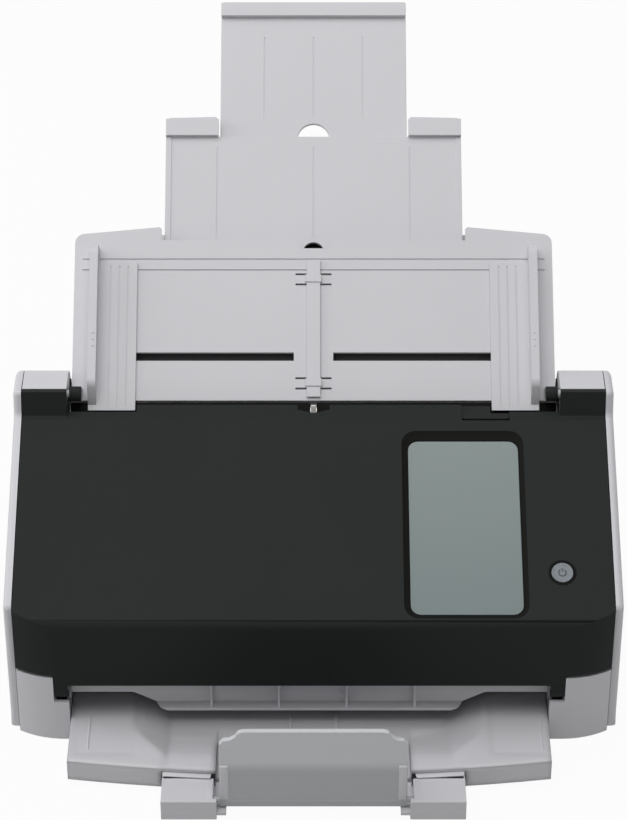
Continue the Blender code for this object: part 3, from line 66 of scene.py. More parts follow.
# Every finish here is even, with a fine grain that breaks up the light and a shade that drifts a little.
# A spark eroded tool leaves ABS a grain of about 0.3 mm, drawn at 0.7 mm so that it shows.
# round_over turns the shading over within that distance of an edge, as a generous fillet does.
def grained_finish(name, light, dark, roughness, grain=0.0007, relief=0.00006, specular=0.5,
                   round_over=0.0, ior=1.53, metallic=0.0):
    drift_width, gloss_spread, bump_strength = 0.06, 0.06, 0.35
    material = bpy.data.materials.new(name)
    material.use_nodes = True
    tree = material.node_tree
    surface = tree.nodes["Principled BSDF"]
    place = add_node(tree, "ShaderNodeTexCoord").outputs["Object"]
    drift = add_node(tree, "ShaderNodeTexNoise", None,
                     {"Vector": place, "Scale": 1 / drift_width, "Detail": 2.0})
    tint = add_node(tree, "ShaderNodeMix", {"data_type": "RGBA"}, {"Factor": drift.outputs["Fac"]})
    tint.inputs["A"].default_value = linear(dark)
    tint.inputs["B"].default_value = linear(light)
    speck = add_node(tree, "ShaderNodeTexNoise", None, {"Vector": place, "Scale": 1 / grain, "Detail": 3.0})
    gloss = add_node(tree, "ShaderNodeMapRange", None,
                     {"Value": speck.outputs["Fac"], "To Min": roughness - gloss_spread,
                      "To Max": roughness + gloss_spread})
    bump = add_node(tree, "ShaderNodeBump", None,
                    {"Height": speck.outputs["Fac"], "Strength": bump_strength, "Distance": relief})
    if round_over:
        rounded = add_node(tree, "ShaderNodeBevel", {"samples": 8}, {"Radius": round_over})
        tree.links.new(rounded.outputs["Normal"], bump.inputs["Normal"])
    tree.links.new(tint.outputs["Result"], surface.inputs["Base Color"])
    tree.links.new(gloss.outputs["Result"], surface.inputs["Roughness"])
    tree.links.new(bump.outputs["Normal"], surface.inputs["Normal"])
    surface.inputs["IOR"].default_value = ior
    surface.inputs["Metallic"].default_value = metallic
    surface.inputs["Specular IOR Level"].default_value = specular
    return material


# A flat of a moulding stays flat up to its eased edge: each corner's shading follows the largest flat that
# meets it within the reach, so a curve of even facets is smooth and a broad face has no streaks.
def keep_flats_level(piece, reach=28):
    same_flat = 0.99998
    cells = bmesh.new()
    cells.from_mesh(piece.data)
    cells.faces.ensure_lookup_table()
    flat_of, flat_areas = {}, []
    for first in cells.faces:
        if first.index in flat_of:
            continue
        flat_of[first.index] = len(flat_areas)
        waiting, area = [first], 0.0
        while waiting:
            face = waiting.pop()
            area += face.calc_area()
            for line in face.edges:
                for beside in line.link_faces:
                    if beside.index not in flat_of and beside.normal.dot(face.normal) > same_flat:
                        flat_of[beside.index] = len(flat_areas)
                        waiting.append(beside)
        flat_areas.append(area)
    shading = []
    for face in cells.faces:
        for corner in face.loops:
            meeting = {flat_of[other.index]: other.normal for other in corner.vert.link_faces
                       if other.normal.dot(face.normal) > math.cos(math.radians(reach))}
            meeting[flat_of[face.index]] = face.normal
            total = Vector((0, 0, 0))
            for flat, normal in meeting.items():
                total += normal * flat_areas[flat]
            shading.append(total.normalized())
    cells.free()
    piece.data.normals_split_custom_set(shading)


# The CAD mesh is loose triangles, so a copy of it is merged before it is shaped
def copy_of_node(name, node):
    weld = 0.00001
    bpy.ops.object.select_all(action="DESELECT")
    piece = bpy.data.objects.new(name, nodes[node].data.copy())
    bpy.context.scene.collection.objects.link(piece)
    piece.data.materials.clear()
    piece.select_set(True)
    bpy.context.view_layer.objects.active = piece
    bpy.ops.object.mode_set(mode="EDIT")
    bpy.ops.mesh.select_all(action="SELECT")
    bpy.ops.mesh.remove_doubles(threshold=weld)
    return piece


# A moulded shell takes the CAD solid's form, and the edges that have room for it are eased as the tool
# leaves them. where picks those edges, soften picks bends to round broadly, and keep cuts at a plane.
def moulded_piece(name, node, body, material, edge=0.0005, segments=2, where=None, soften=None,
                  keep=None, reach=28):
    flat_angle, bend_angle, sharp_angle = math.radians(0.6), math.radians(4), math.radians(30)
    soft_radius, soft_segments = 0.009, 6
    least_room = (1.1 if where else 2.2) * edge
    piece = copy_of_node(name, node)
    if keep:
        bpy.ops.mesh.bisect(plane_co=keep[0], plane_no=keep[1], use_fill=True, clear_inner=True)
        bpy.ops.mesh.select_all(action="SELECT")
    bpy.ops.mesh.dissolve_limited(angle_limit=flat_angle)
    bpy.ops.mesh.select_mode(type="EDGE")
    if soften:
        bpy.ops.mesh.select_all(action="DESELECT")
        cells = bmesh.from_edit_mesh(piece.data)
        for line in cells.edges:
            if len(line.link_faces) == 2 and line.calc_face_angle() > bend_angle:
                line.select_set(soften((line.verts[0].co + line.verts[1].co) / 2))
        bmesh.update_edit_mesh(piece.data)
        bpy.ops.mesh.bevel(offset=soft_radius, segments=soft_segments, clamp_overlap=True)
    bpy.ops.mesh.select_all(action="DESELECT")
    cells = bmesh.from_edit_mesh(piece.data)
    for line in cells.edges:
        if len(line.link_faces) == 2 and line.is_convex and line.calc_face_angle() > sharp_angle:
            room = min(face.calc_area() for face in line.link_faces) / line.calc_length()
            middle = (line.verts[0].co + line.verts[1].co) / 2
            if room > least_room and (where is None or where(middle)):
                line.select_set(True)
    bmesh.update_edit_mesh(piece.data)
    bpy.ops.mesh.bevel(offset=edge, segments=segments, clamp_overlap=True, miter_outer="ARC")
    bpy.ops.object.mode_set(mode="OBJECT")
    bpy.ops.object.shade_smooth()
    keep_flats_level(piece, reach)
    piece.data.materials.append(material)
    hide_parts(node)
    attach(piece, body)
    return piece


# Light grey ABS is dull and cool in tone, and scatters light softly
light_tone, light_shade, light_roughness = "#CDCDD1", "#C8C8CC", 0.46
light_abs = grained_finish("light_grey_moulded_abs", light_tone, light_shade, light_roughness)
moulded_piece("base_pan_shell", "bottom_pan", "base", light_abs)

# Side covers: one shallow moulding on each side with the outline of the whole body.
# Light grey ABS, clipped to the pan and the rear cover along a fine seam.
# The outer rim is rounded, the outline bends softly, and the lower front corner is nearly square.
rim_radius, rim_segments = 0.0034, 6
outer_face, seam_face = 0.1489, 0.1465
crease_front, crease_low, crease_high = -0.1, 0.06, 0.1
ear_front, ear_back, ear_low, ear_high = -0.02, -0.002, 0.11, 0.136
side_front, side_bottom = -0.10943, 0.001
corner_radius, corner_reach, corner_share = 0.008, 0.0045, 0.35


def on_outer_rim(middle):
    return abs(middle.x) > outer_face


def on_outline_bend(middle):
    at_crease = middle.y < crease_front and crease_low < middle.z < crease_high
    at_ear = ear_front < middle.y < ear_back and ear_low < middle.z < ear_high
    return seam_face < abs(middle.x) < outer_face and (at_crease or at_ear)


for side in ("left", "right"):
    shell = moulded_piece(f"{side}_side_shell", f"{side}_side_cover", "base", light_abs,
                          rim_radius, rim_segments, on_outer_rim, on_outline_bend)
    for vert in shell.data.vertices:
        from_middle = Vector((vert.co.y - side_front - corner_radius,
                              vert.co.z - side_bottom - corner_radius))
        if from_middle.x < 0 and from_middle.y < 0 and from_middle.length > corner_reach:
            vert.co.y = side_front + (vert.co.y - side_front) * corner_share
            vert.co.z = side_bottom + (vert.co.z - side_bottom) * corner_share
    keep_flats_level(shell)

# Rear cover: the back wall, the deck under the chute and the two ears that carry its hinge.
# Light grey ABS in one moulding, screwed to the frames, with holes for the sockets.
# A thin dark plate of painted shade covers the inner flank of each ear, below the hinge pin.
rear_edge = 0.0009
moulded_piece("rear_shell", "rear_cover", "base", light_abs, rear_edge)


# Flat trim is a thin block with eased edges
def eased_block(name, place, size, body, material, ease=0.0002, slope=0.0):
    bpy.ops.object.select_all(action="DESELECT")
    bpy.ops.mesh.primitive_cube_add(size=1, location=place, rotation=(slope, 0, 0), scale=size)
    block = bpy.context.object
    block.name = name
    bpy.ops.object.transform_apply(location=True, rotation=True, scale=True)
    bpy.ops.object.mode_set(mode="EDIT")
    bpy.ops.mesh.select_all(action="SELECT")
    bpy.ops.mesh.bevel(offset=ease, segments=2, affect="EDGES")
    bpy.ops.object.mode_set(mode="OBJECT")
    bpy.ops.object.shade_smooth()
    keep_flats_level(block)
    block.data.materials.append(material)
    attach(block, body)


# Dark grey ABS is nearly black with a green cast, and its satin grain hides reflections
dark_abs = grained_finish("dark_grey_satin_abs", "#272B2A", "#242726", roughness=0.5, specular=0.06)
sides = (("left", -1), ("right", 1))
# Each dark plate is painted shade on the ear's inner flank, where the hinge gap is in shade.
ear_shade_at, ear_shade_size = Vector((0.12227, 0.0041, 0.1165)), (0.0006, 0.0228, 0.0165)
for side, sign in sides:
    eased_block(f"{side}_ear_painted_shade", (sign * ear_shade_at.x, ear_shade_at.y, ear_shade_at.z), ear_shade_size,
                "base", dark_abs)

# Feet: four thin discs in the corners of the pan.
# Moulded grey rubber, dull and dark, glued to its underside.
rubber = grained_finish("grey_moulded_rubber", "#3B3B3D", "#343436", roughness=0.8)


def finish_nodes(names, material):
    for name in names:
        nodes[name].data.materials.clear()
        nodes[name].data.materials.append(material)


finish_nodes(("foot_front_left", "foot_front_right", "foot_rear_left", "foot_rear_right"), rubber)

# Inner works: side frames, motor, gears, shafts, rollers, scan units, boards and sockets.
# Plated sheet, drawn steel, acetal and ground rubber, seen only with the cover open.

# Drawn steel is bright and zinc plate duller, acetal is warm and waxy, and black ABS swallows the light.
# Solder mask is a green lacquer with a soft gloss, and the scan glass is polished like a mirror.
steel = grained_finish("bright_drawn_steel", "#C9CACC", "#C2C3C5", roughness=0.32, ior=1.5, metallic=1.0)
plated = grained_finish("zinc_plated_sheet", "#C2C5C8", "#B8BBBE", roughness=0.38, ior=1.5, metallic=1.0)
acetal = grained_finish("white_moulded_acetal", "#E2E0DA", "#DCDAD4", roughness=0.35)
black_abs = grained_finish("black_moulded_abs", "#161614", "#121210", roughness=0.6, specular=0.05)
solder_mask = grained_finish("green_solder_mask", "#2A6B48", "#245F40", roughness=0.4)
polished_glass = grained_finish("polished_scan_glass", "#9FAEAE", "#9AA9A9", roughness=0.08)
finish_nodes(("left_frame", "right_frame", "usb_port", "lan_port"), plated)
finish_nodes(("drive_motor", "eject_shaft", "feed_shaft", "pick_shaft",
              "cover_pin_left", "cover_pin_right"), steel)
finish_nodes(("motor_pinion", "drive_idler_gear", "eject_gear", "feed_gear",
              "pick_gear", "pick_idler_gear", "guide_pinion", "sensor_flag"), acetal)
finish_nodes(("eject_roller_left", "eject_roller_right", "feed_roller_left", "feed_roller_right",
              "pick_roller", "eject_pinch_roller", "feed_pinch_roller", "brake_roller"), rubber)
finish_nodes(("back_scan_unit", "front_scan_unit", "display_module",
              "dc_jack", "lower_guide", "upper_guide"), black_abs)
finish_nodes(("main_board", "control_board"), solder_mask)
finish_nodes(("back_scan_glass", "front_scan_glass"), polished_glass)

# The sockets' plated shells hold black inserts that stand back from the mouth
insert_room, insert_back = Vector((0.0026, 0.0036, 0.0026)), Vector((0, 0.0016, 0))
for port in ("usb_port", "lan_port"):
    low, high = (Vector(corner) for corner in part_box(port))
    eased_block(f"{port}_insert", (low + high) / 2 - insert_back, high - low - insert_room,
                "base", black_abs)

# Exit wall: the ribbed wall behind the mouth that sheets slide down on their way out.
# Light grey ABS, clipped between the two posts of the pan.
exit_wall_edge = 0.0004
moulded_piece("exit_wall_shell", "exit_wall", "base", light_abs, exit_wall_edge)

# Cover: the dark wedge that carries the screen and swings forward on two legs.
# Dark grey ABS with a satin grain, a rounded crease and a thin lip over the paper inlet.
cover_edge = 0.0009
moulded_piece("cover_dark_shell", "cover_shell", "cover", dark_abs, cover_edge)

# Touch screen: a glass plate with a printed back, held in a sloping recess in the cover that holds a band
# of painted shade.
# Float glass with a fine anti-glare etch, grey-green, with a painted reflection that makes it lighter
# towards its top.
# The band round the glass is a thin layer of dead black painted shade over the recess, whose walls are in
# shade.
glass_edge, glass_foot, glass_head = 0.0003, 0.073, 0.115
glass = grained_finish("etched_touch_glass_painted_reflection", "#7B8785", "#6A7777", roughness=0.3, specular=0.3)


# The tone goes from the darker to the lighter one between two heights, which paints light and shade by
# height
def paint_light_by_height(material, low, high):
    tree = material.node_tree
    height = add_node(tree, "ShaderNodeSeparateXYZ", None,
                      {"Vector": add_node(tree, "ShaderNodeTexCoord").outputs["Object"]})
    rise = add_node(tree, "ShaderNodeMapRange", None,
                    {"Value": height.outputs["Z"], "From Min": low, "From Max": high})
    tree.links.new(rise.outputs["Result"], tree.nodes["Mix"].inputs["Factor"])


# The glass is painted lighter towards its top, a painted reflection.
paint_light_by_height(glass, glass_foot, glass_head)
moulded_piece("touch_plate", "touch_glass", "cover", glass, glass_edge)

panel_crease = Vector((0, -0.117442, 0.073))
panel_along, panel_out = Vector((0, 0.90334, 0.42894)), Vector((0, -0.42894, 0.90334))
panel_slope = math.atan2(panel_along.z, panel_along.y)
recess_floor, recess_rim, band_thickness = -0.00152, -0.00003, 0.00008
recess_left, recess_right, recess_low, recess_high = 0.0425, 0.1045, 0.002, 0.1075
# A thin black band over the recess faces is painted shade, standing in for the shade of the recess walls.
recess_shade_band = copy_of_node("screen_recess_painted_shade", "cover_shell")
bpy.ops.mesh.select_mode(type="FACE")
cells = bmesh.from_edit_mesh(recess_shade_band.data)
for face in cells.faces:
    spot = face.calc_center_median() - panel_crease
    sunk = recess_floor < spot.dot(panel_out) < recess_rim
    beside = recess_left < spot.x < recess_right and recess_low < spot.dot(panel_along) < recess_high
    face.select_set(not (sunk and beside))
bmesh.update_edit_mesh(recess_shade_band.data)
bpy.ops.mesh.delete(type="FACE")
bpy.ops.object.mode_set(mode="OBJECT")
band = recess_shade_band.modifiers.new("band", "SOLIDIFY")
band.thickness = band_thickness
band.offset = 1.0
bpy.ops.object.modifier_apply(modifier="band")
bpy.ops.object.shade_smooth_by_angle(angle=math.radians(30))
# This black is painted shade, used over the screen recess and over the gap round the key.
painted_shade_black = grained_finish("black_painted_shade", "#161614", "#121210", roughness=0.6, specular=0.05)
recess_shade_band.data.materials.append(painted_shade_black)
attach(recess_shade_band, "cover")

# Power button: a round key cap with a dished top, pressed against a spring.
# ABS under satin grey paint, which has a soft sheen, with the usual ring and bar in a darker, duller print.
# A flat black ring of painted shade lies over the gap round it.
key_edge, dish_rim, dish_depth = 0.0004, 0.0011, 0.00025
mark_radius, mark_thick, mark_sink = 0.0018, 0.0003, 0.0002
mark_gap_from, mark_gap_half, bar_at, bar_length, bar_ease = 0.0010, 0.0009, 0.0014, 0.0018, 0.0001
ring_radius, ring_thick, ring_lift, ring_flat = 0.0062, 0.0006, 0.00002, 0.12
key_paint = grained_finish("satin_grey_key_paint", "#666E74", "#61696E", roughness=0.35)
key = moulded_piece("power_key", "power_button", "power_button", key_paint, key_edge, 3)
bpy.ops.object.mode_set(mode="EDIT")
bpy.ops.mesh.select_mode(type="FACE")
bpy.ops.mesh.select_all(action="DESELECT")
cells = bmesh.from_edit_mesh(key.data)
top = max(cells.faces, key=lambda face: face.calc_center_median().dot(panel_out))
dish_middle = top.calc_center_median().copy()
top.select_set(True)
bmesh.update_edit_mesh(key.data)
bpy.ops.mesh.inset(thickness=dish_rim, depth=-dish_depth)
bpy.ops.object.mode_set(mode="OBJECT")

bpy.ops.object.select_all(action="DESELECT")
mark_middle = dish_middle - panel_out * mark_sink
bpy.ops.mesh.primitive_torus_add(location=mark_middle, rotation=(panel_slope, 0, 0),
                                 major_radius=mark_radius, minor_radius=mark_thick,
                                 major_segments=48, minor_segments=8)
mark = bpy.context.object
mark.name = "power_mark"
bpy.ops.object.transform_apply(location=True, rotation=True, scale=True)
bpy.ops.object.mode_set(mode="EDIT")
bpy.ops.mesh.select_mode(type="VERT")
bpy.ops.mesh.select_all(action="DESELECT")
cells = bmesh.from_edit_mesh(mark.data)
for vert in cells.verts:
    spot = vert.co - dish_middle
    vert.select_set(spot.dot(panel_along) > mark_gap_from and abs(spot.x) < mark_gap_half)
bmesh.update_edit_mesh(mark.data)
bpy.ops.mesh.delete(type="VERT")
bpy.ops.mesh.select_all(action="SELECT")
bpy.ops.mesh.fill_holes(sides=8)
bpy.ops.mesh.primitive_cylinder_add(vertices=10, radius=mark_thick, depth=bar_length,
                                    location=mark_middle + panel_along * bar_at,
                                    rotation=(panel_slope - math.pi / 2, 0, 0))
bpy.ops.mesh.bevel(offset=bar_ease, segments=2, affect="EDGES")
bpy.ops.object.mode_set(mode="OBJECT")
bpy.ops.object.shade_smooth_by_angle(angle=math.radians(50))
key_print = grained_finish("dark_grey_key_print", "#454B50", "#40464B", roughness=0.45)
mark.data.materials.append(key_print)
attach(mark, "power_button")

# The flat black ring is painted shade for the gap round the key.
bpy.ops.object.select_all(action="DESELECT")
key_along = (dish_middle - panel_crease).dot(panel_along)
ring_middle = panel_crease + panel_out * ring_lift + panel_along * key_along
ring_middle.x = dish_middle.x
bpy.ops.mesh.primitive_torus_add(location=ring_middle, rotation=(panel_slope, 0, 0),
                                 major_radius=ring_radius, minor_radius=ring_thick,
                                 major_segments=64, minor_segments=8)
ring = bpy.context.object
ring.name = "key_gap_painted_shade"
bpy.ops.object.mode_set(mode="EDIT")
bpy.ops.mesh.select_all(action="SELECT")
bpy.ops.transform.resize(value=(1, 1, ring_flat), orient_type="LOCAL")
bpy.ops.object.mode_set(mode="OBJECT")
bpy.ops.object.transform_apply(location=True, rotation=True, scale=True)
bpy.ops.object.shade_smooth()
ring.data.materials.append(painted_shade_black)
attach(ring, "cover")

# Release tab: the short lever in the lip that frees the cover.
# Dark grey ABS like the cover, turning under the lip against a spring.
tab_edge = 0.0003
moulded_piece("release_lever", "release_tab", "release_tab", dark_abs, tab_edge)

# Chute: a hollow tray of two light grey mouldings hinged between the ears, with a rail up its middle.
# ABS halves that snap together, with dark cylinders of painted shade on the hinge knuckles.
# Matt black sheets of painted shade lie behind the finger hole and behind the two slots, where the hollow
# chute is in shade.
face_start = Vector((0, 0.001512, 0.120773))
face_along, face_out = Vector((0, 0.77715, 0.62932)), Vector((0, -0.62932, 0.77715))
face_slope = math.atan2(face_along.z, face_along.y)
face_edge, back_edge, rail_edge = 0.0006, 0.0008, 0.0004
back_top, back_longer = 0.085, 0.0034
moulded_piece("chute_face", "chute_front", "chute", light_abs, face_edge)
rear = moulded_piece("chute_rear", "chute_back", "chute", light_abs, back_edge)
for vert in rear.data.vertices:
    if (vert.co - face_start).dot(face_along) > back_top:
        vert.co += face_along * back_longer
moulded_piece("chute_centre_rail", "centre_rail", "chute", light_abs, rail_edge)

# Each dark cylinder on a hinge knuckle is painted shade for the dark gap round the hinge.
knuckle_shade_at, knuckle_shade_radius, knuckle_shade_length, knuckle_shade_ease = Vector((0.1185, -0.004645, 0.12917)), 0.0037, 0.0058, 0.0004
for side, sign in sides:
    bpy.ops.object.select_all(action="DESELECT")
    bpy.ops.mesh.primitive_cylinder_add(vertices=32, radius=knuckle_shade_radius, depth=knuckle_shade_length,
                                        location=(sign * knuckle_shade_at.x, knuckle_shade_at.y, knuckle_shade_at.z),
                                        rotation=(0, math.pi / 2, 0))
    knuckle_shade = bpy.context.object
    knuckle_shade.name = f"{side}_hinge_painted_shade"
    bpy.ops.object.transform_apply(location=True, rotation=True, scale=True)
    bpy.ops.object.mode_set(mode="EDIT")
    bpy.ops.mesh.select_all(action="SELECT")
    bpy.ops.mesh.bevel(offset=knuckle_shade_ease, segments=2, affect="EDGES", clamp_overlap=True)
    bpy.ops.object.mode_set(mode="OBJECT")
    bpy.ops.object.shade_smooth_by_angle(angle=math.radians(30))
    knuckle_shade.data.materials.append(dark_abs)
    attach(knuckle_shade, "chute")

# The matt black sheet behind the finger hole is painted shade for the hollow chute behind it.
hole_shade_lift, hole_shade_size, shade_sheet_ease = 0.0001, (0.022, 0.015, 0.0002), 0.00006
hole_shade_at = Vector((0, 0.0704, 0.16235)) + face_out * hole_shade_lift
hole_shade_black = grained_finish("black_painted_shade_sheet", "#1B1B19", "#151513", roughness=0.9,
                              grain=0.0005, relief=0.0002, specular=0.1)
eased_block("finger_hole_painted_shade", hole_shade_at, hole_shade_size, "chute", hole_shade_black,
            shade_sheet_ease, face_slope)
# A dark sheet behind each slot is painted shade for the hollow under it; it uses the rubber finish.
slot_middle, slot_along, slot_depth, slot_shade_size = 0.050, 0.0248, 0.0053, (0.079, 0.0095, 0.00024)
for side, sign in sides:
    middle = face_start + face_along * slot_along - face_out * slot_depth
    middle.x = sign * slot_middle
    eased_block(f"{side}_slot_painted_shade", middle, slot_shade_size, "chute", rubber,
                shade_sheet_ease, face_slope)

# Extensions: two light grey sheets that draw out of the chute one after the other.
# Thin ABS mouldings with stiffening lines and a folded lip to pull on; the first has a rim on each side.
sheet_edge = 0.0005
rim_middle, rim_along, rim_depth, rim_size = 0.0746, 0.1148, 0.0055, (0.0029, 0.0566, 0.0008)
moulded_piece("mid_sheet", "mid_extension", "mid_extension", light_abs, sheet_edge)
for side, sign in sides:
    middle = face_start + face_along * rim_along - face_out * rim_depth
    middle.x = sign * rim_middle
    eased_block(f"{side}_sheet_rim", middle, rim_size, "mid_extension", light_abs,
                slope=face_slope)
moulded_piece("top_sheet", "top_extension", "top_extension", light_abs, sheet_edge)

# Side guides: a floor plate and a fin each, tied together by racks on one pinion.
# ABS plates with three moulded dots on each fin to grip by.
# The racks are black acetal, which has a slight wax sheen.
guide_edge, rack_edge, rack_depth = 0.0006, 0.0002, 0.0011
dot_radius, dot_shape = 0.0006, (1.2, 1, 0.5)
first_dot, dot_step = Vector((0.11061, 0.01965, 0.14962)), Vector((-0.00007, -0.002645, -0.002145))
rack_level = face_start - face_out * rack_depth
rack_acetal = grained_finish("black_moulded_acetal", "#1C1B18", "#171613", roughness=0.45, specular=0.3)
for side, sign in sides:
    guide = f"{side}_guide"
    moulded_piece(f"{side}_guide_fin", guide, guide, light_abs, guide_edge,
                  keep=(rack_level, face_out))
    moulded_piece(f"{side}_guide_rack", guide, guide, rack_acetal, rack_edge, 1,
                  keep=(rack_level, -face_out))
    bpy.ops.object.select_all(action="DESELECT")
    for step in range(3):
        spot = first_dot + dot_step * step
        bpy.ops.mesh.primitive_uv_sphere_add(segments=12, ring_count=8, radius=dot_radius,
                                             location=(sign * spot.x, spot.y, spot.z),
                                             rotation=(face_slope, 0, 0), scale=dot_shape)
        if step == 0:
            dots = bpy.context.object
            dots.name = f"{side}_grip_dots"
            bpy.ops.object.transform_apply(location=True, rotation=True, scale=True)
            bpy.ops.object.mode_set(mode="EDIT")
    bpy.ops.object.mode_set(mode="OBJECT")
    bpy.ops.object.shade_smooth()
    dots.data.materials.append(light_abs)
    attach(dots, f"{side}_guide")


# Stacker: a bowed tray that draws out of the base, with ribs that keep sheets from sticking to its deck.
# Light grey ABS in one moulding; its wings run into the scoop with no hard edge, so light rolls over them.
# A lip under its front edge closes the gap above each arm of the extension.
def moulded_rib(name, place, size, body, taper, turn=0.0):
    draft, end_draft, ease, facing = 0.0007, 0.94, 0.00018, 0.9
    bpy.ops.object.select_all(action="DESELECT")
    bpy.ops.mesh.primitive_cube_add(size=1, location=place, rotation=(0, 0, math.radians(turn)), scale=size)
    rib = bpy.context.object
    rib.name = name
    bpy.ops.object.transform_apply(location=True, rotation=True, scale=True)
    bpy.ops.object.mode_set(mode="EDIT")
    bpy.ops.mesh.select_mode(type="FACE")
    bpy.ops.mesh.select_all(action="DESELECT")
    cells = bmesh.from_edit_mesh(rib.data)
    for face in cells.faces:
        face.select_set(face.normal.dot(Vector(taper)) > facing)
    bmesh.update_edit_mesh(rib.data)
    narrow = 1 - draft / size[0]
    bpy.ops.transform.resize(value=(narrow, 1, end_draft) if taper[1] else (narrow, end_draft, 1))
    bpy.ops.mesh.select_all(action="SELECT")
    bpy.ops.mesh.bevel(offset=ease, segments=2, affect="EDGES")
    bpy.ops.object.mode_set(mode="OBJECT")
    bpy.ops.object.shade_smooth_by_angle(angle=math.radians(40))
    rib.data.materials.append(light_abs)
    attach(rib, body)


scoop_middle, scoop_near, scoop_far = -0.002, 0.055, 0.092
scoop_front, scoop_back, scoop_low, scoop_high = -0.1513, -0.085, 0.0055, 0.0144


def on_scoop_bend(middle):
    return (scoop_near < abs(middle.x - scoop_middle) < scoop_far and scoop_low < middle.z < scoop_high
            and scoop_front < middle.y < scoop_back)


upward, forward = (0, 0, 1), (0, -1, 0)
deck_edge, deck_round_over, deck_reach = 0.0007, 0.005, 52
pocket_wall_from, pocket_wall_to, pocket_wall_at, pocket_roof = 0.0471, 0.0489, 0.0473, 0.0128
deck_abs = grained_finish("light_grey_deck_abs", light_tone, light_shade, light_roughness,
                          round_over=deck_round_over)
deck = moulded_piece("stacker_deck", "stacker_tray", "stacker", deck_abs, deck_edge,
                     soften=on_scoop_bend, reach=deck_reach)
for vert in deck.data.vertices:
    if pocket_wall_from < abs(vert.co.x) < pocket_wall_to and vert.co.z < pocket_roof:
        vert.co.x = math.copysign(pocket_wall_at, vert.co.x)
wing_rib_width, wing_rib_height, wing_top = 0.0013, 0.0009, 0.01432
for side, x, y, length in (("left", -0.1091, -0.1282, 0.0256), ("right", 0.1107, -0.1293, 0.0234)):
    moulded_rib(f"{side}_wing_rib", (x, y, wing_top), (wing_rib_width, length, wing_rib_height),
                "stacker", upward)
deck_rib_at, deck_rib_size = Vector((0.0113, -0.1107, 0.0068)), (0.0018, 0.0134, 0.0012)
for side, sign in sides:
    moulded_rib(f"{side}_deck_rib", (sign * deck_rib_at.x, deck_rib_at.y, deck_rib_at.z), deck_rib_size,
                "stacker", upward)
apron_level, apron_size = 0.0123, (0.0236, 0.0036, 0.0006)
for side, x, y, turn in (("left", -0.0607, -0.1563, -4.1), ("right", 0.0607, -0.1560, 4.1)):
    moulded_rib(f"{side}_deck_apron", (x, y, apron_level), apron_size, "stacker", forward, turn)

# Stacker extension and stopper: a fork that draws out of the tray, and a flap that folds up in it.
# Light grey ABS; the flap is bent back at half height, and its lower half is painted darker as shade below
# the bend.
# A cover lies beside each arm of the fork, and a stile stiffens each side of the flap.
slide_edge, flap_edge, flap_bend_low, flap_bend_high = 0.0007, 0.0006, 0.0275, 0.0325
moulded_piece("stacker_slide", "stacker_extension", "stacker_extension", light_abs,
              slide_edge)
# The flap's lower half is painted darker, painted shade below the bend.
stopper_painted_shade_abs = grained_finish("light_grey_stopper_painted_shade_abs", "#CACBCE", "#B0B2B5", light_roughness)
paint_light_by_height(stopper_painted_shade_abs, flap_bend_low, flap_bend_high)
moulded_piece("stopper_flap", "stopper", "stopper", stopper_painted_shade_abs, flap_edge)
slide_cover_at, slide_cover_size = Vector((0.0495, -0.1652, 0.01126)), (0.0039, 0.0150, 0.0009)
for side, sign in sides:
    moulded_rib(f"{side}_slide_cover", (sign * slide_cover_at.x, slide_cover_at.y, slide_cover_at.z),
                slide_cover_size, "stacker_extension", upward)
stile_at, stile_size = Vector((0.0423, -0.1708, 0.0203)), (0.0042, 0.0010, 0.0216)
for side, sign in sides:
    moulded_rib(f"{side}_stopper_stile", (sign * stile_at.x, stile_at.y, stile_at.z), stile_size,
                "stopper", forward)

# Stage: a pale floor, soft light from above and from the sides, and the camera at the photograph's angle.
# The floor is matt paint that shows near white to the camera and to reflections, and keeps the shadow.
# The world is plain white behind it and lights the object at a low, even level.
floor_width, floor_roughness, floor_white, sky_level = 8.0, 0.9, 0.95, 0.28


def seen_directly(tree):
    path = add_node(tree, "ShaderNodeLightPath")
    either = add_node(tree, "ShaderNodeMath", {"operation": "ADD", "use_clamp": True},
                      {0: path.outputs["Is Camera Ray"], 1: path.outputs["Is Glossy Ray"]})
    any_of = add_node(tree, "ShaderNodeMath", {"operation": "ADD", "use_clamp": True},
                      {0: either.outputs["Value"], 1: path.outputs["Is Transmission Ray"]})
    return any_of.outputs["Value"]


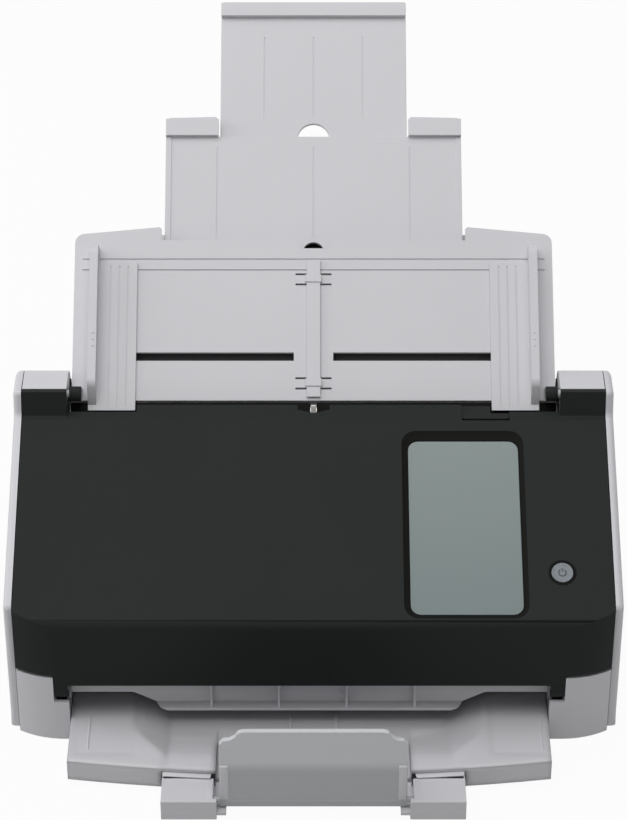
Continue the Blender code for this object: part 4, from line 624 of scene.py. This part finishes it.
bpy.ops.object.select_all(action="DESELECT")
bpy.ops.mesh.primitive_plane_add(size=floor_width, location=(0, 0, 0))
floor = bpy.context.object
floor.name = "pale_floor"
pale = bpy.data.materials.new("pale_floor_paint")
pale.use_nodes = True
tree = pale.node_tree
paint = tree.nodes["Principled BSDF"]
paint.inputs["Base Color"].default_value = linear("#CFCFCF")
paint.inputs["Roughness"].default_value = floor_roughness
glow = add_node(tree, "ShaderNodeEmission", None, {"Color": (1, 1, 1, 1), "Strength": 1.0})
seen = add_node(tree, "ShaderNodeMath", {"operation": "MULTIPLY"}, {0: seen_directly(tree), 1: floor_white})
blend = add_node(tree, "ShaderNodeMixShader", None, {"Fac": seen.outputs["Value"]})
tree.links.new(paint.outputs["BSDF"], blend.inputs[1])
tree.links.new(glow.outputs["Emission"], blend.inputs[2])
tree.links.new(blend.outputs["Shader"], tree.nodes["Material Output"].inputs["Surface"])
floor.data.materials.append(pale)

world = bpy.data.worlds.new("studio_white")
bpy.context.scene.world = world
world.use_nodes = True
tree = world.node_tree
tree.nodes.clear()
level = add_node(tree, "ShaderNodeMapRange", None,
                 {"Value": seen_directly(tree), "To Min": sky_level, "To Max": 1.0})
sky = add_node(tree, "ShaderNodeBackground", None,
               {"Color": (1, 1, 1, 1), "Strength": level.outputs["Result"]})
add_node(tree, "ShaderNodeOutputWorld", None, {"Surface": sky.outputs["Background"]})


def soft_lamp(name, place, size, power):
    lit_spot = Vector((0, 0, 0.1))
    bpy.ops.object.light_add(type="AREA", location=place)
    lamp = bpy.context.object
    lamp.name = name
    lamp.data.shape = "DISK"
    lamp.data.size = size
    lamp.data.energy = power
    lamp.rotation_euler = (lit_spot - Vector(place)).to_track_quat("-Z", "Y").to_euler()


soft_lamp("overhead_softbox", place=(-0.3, -0.2, 2.2), size=2.2, power=30)
soft_lamp("left_softbox", place=(-1.8, 0.1, 0.9), size=1.2, power=11)
soft_lamp("right_softbox", place=(1.8, 0.1, 0.9), size=1.2, power=1)

camera_at, camera_aim = Vector((0.0, -1.2203, 0.9705)), Vector((0.0, -0.0588, 0.1572))
bpy.ops.object.camera_add(location=camera_at)
camera = bpy.context.object
camera.rotation_euler = (camera_aim - camera_at).to_track_quat("-Z", "Y").to_euler()
camera.data.lens = 130.4
camera.data.sensor_width = 36.0
bpy.context.scene.camera = camera
bpy.context.scene.view_settings.view_transform = "Standard"
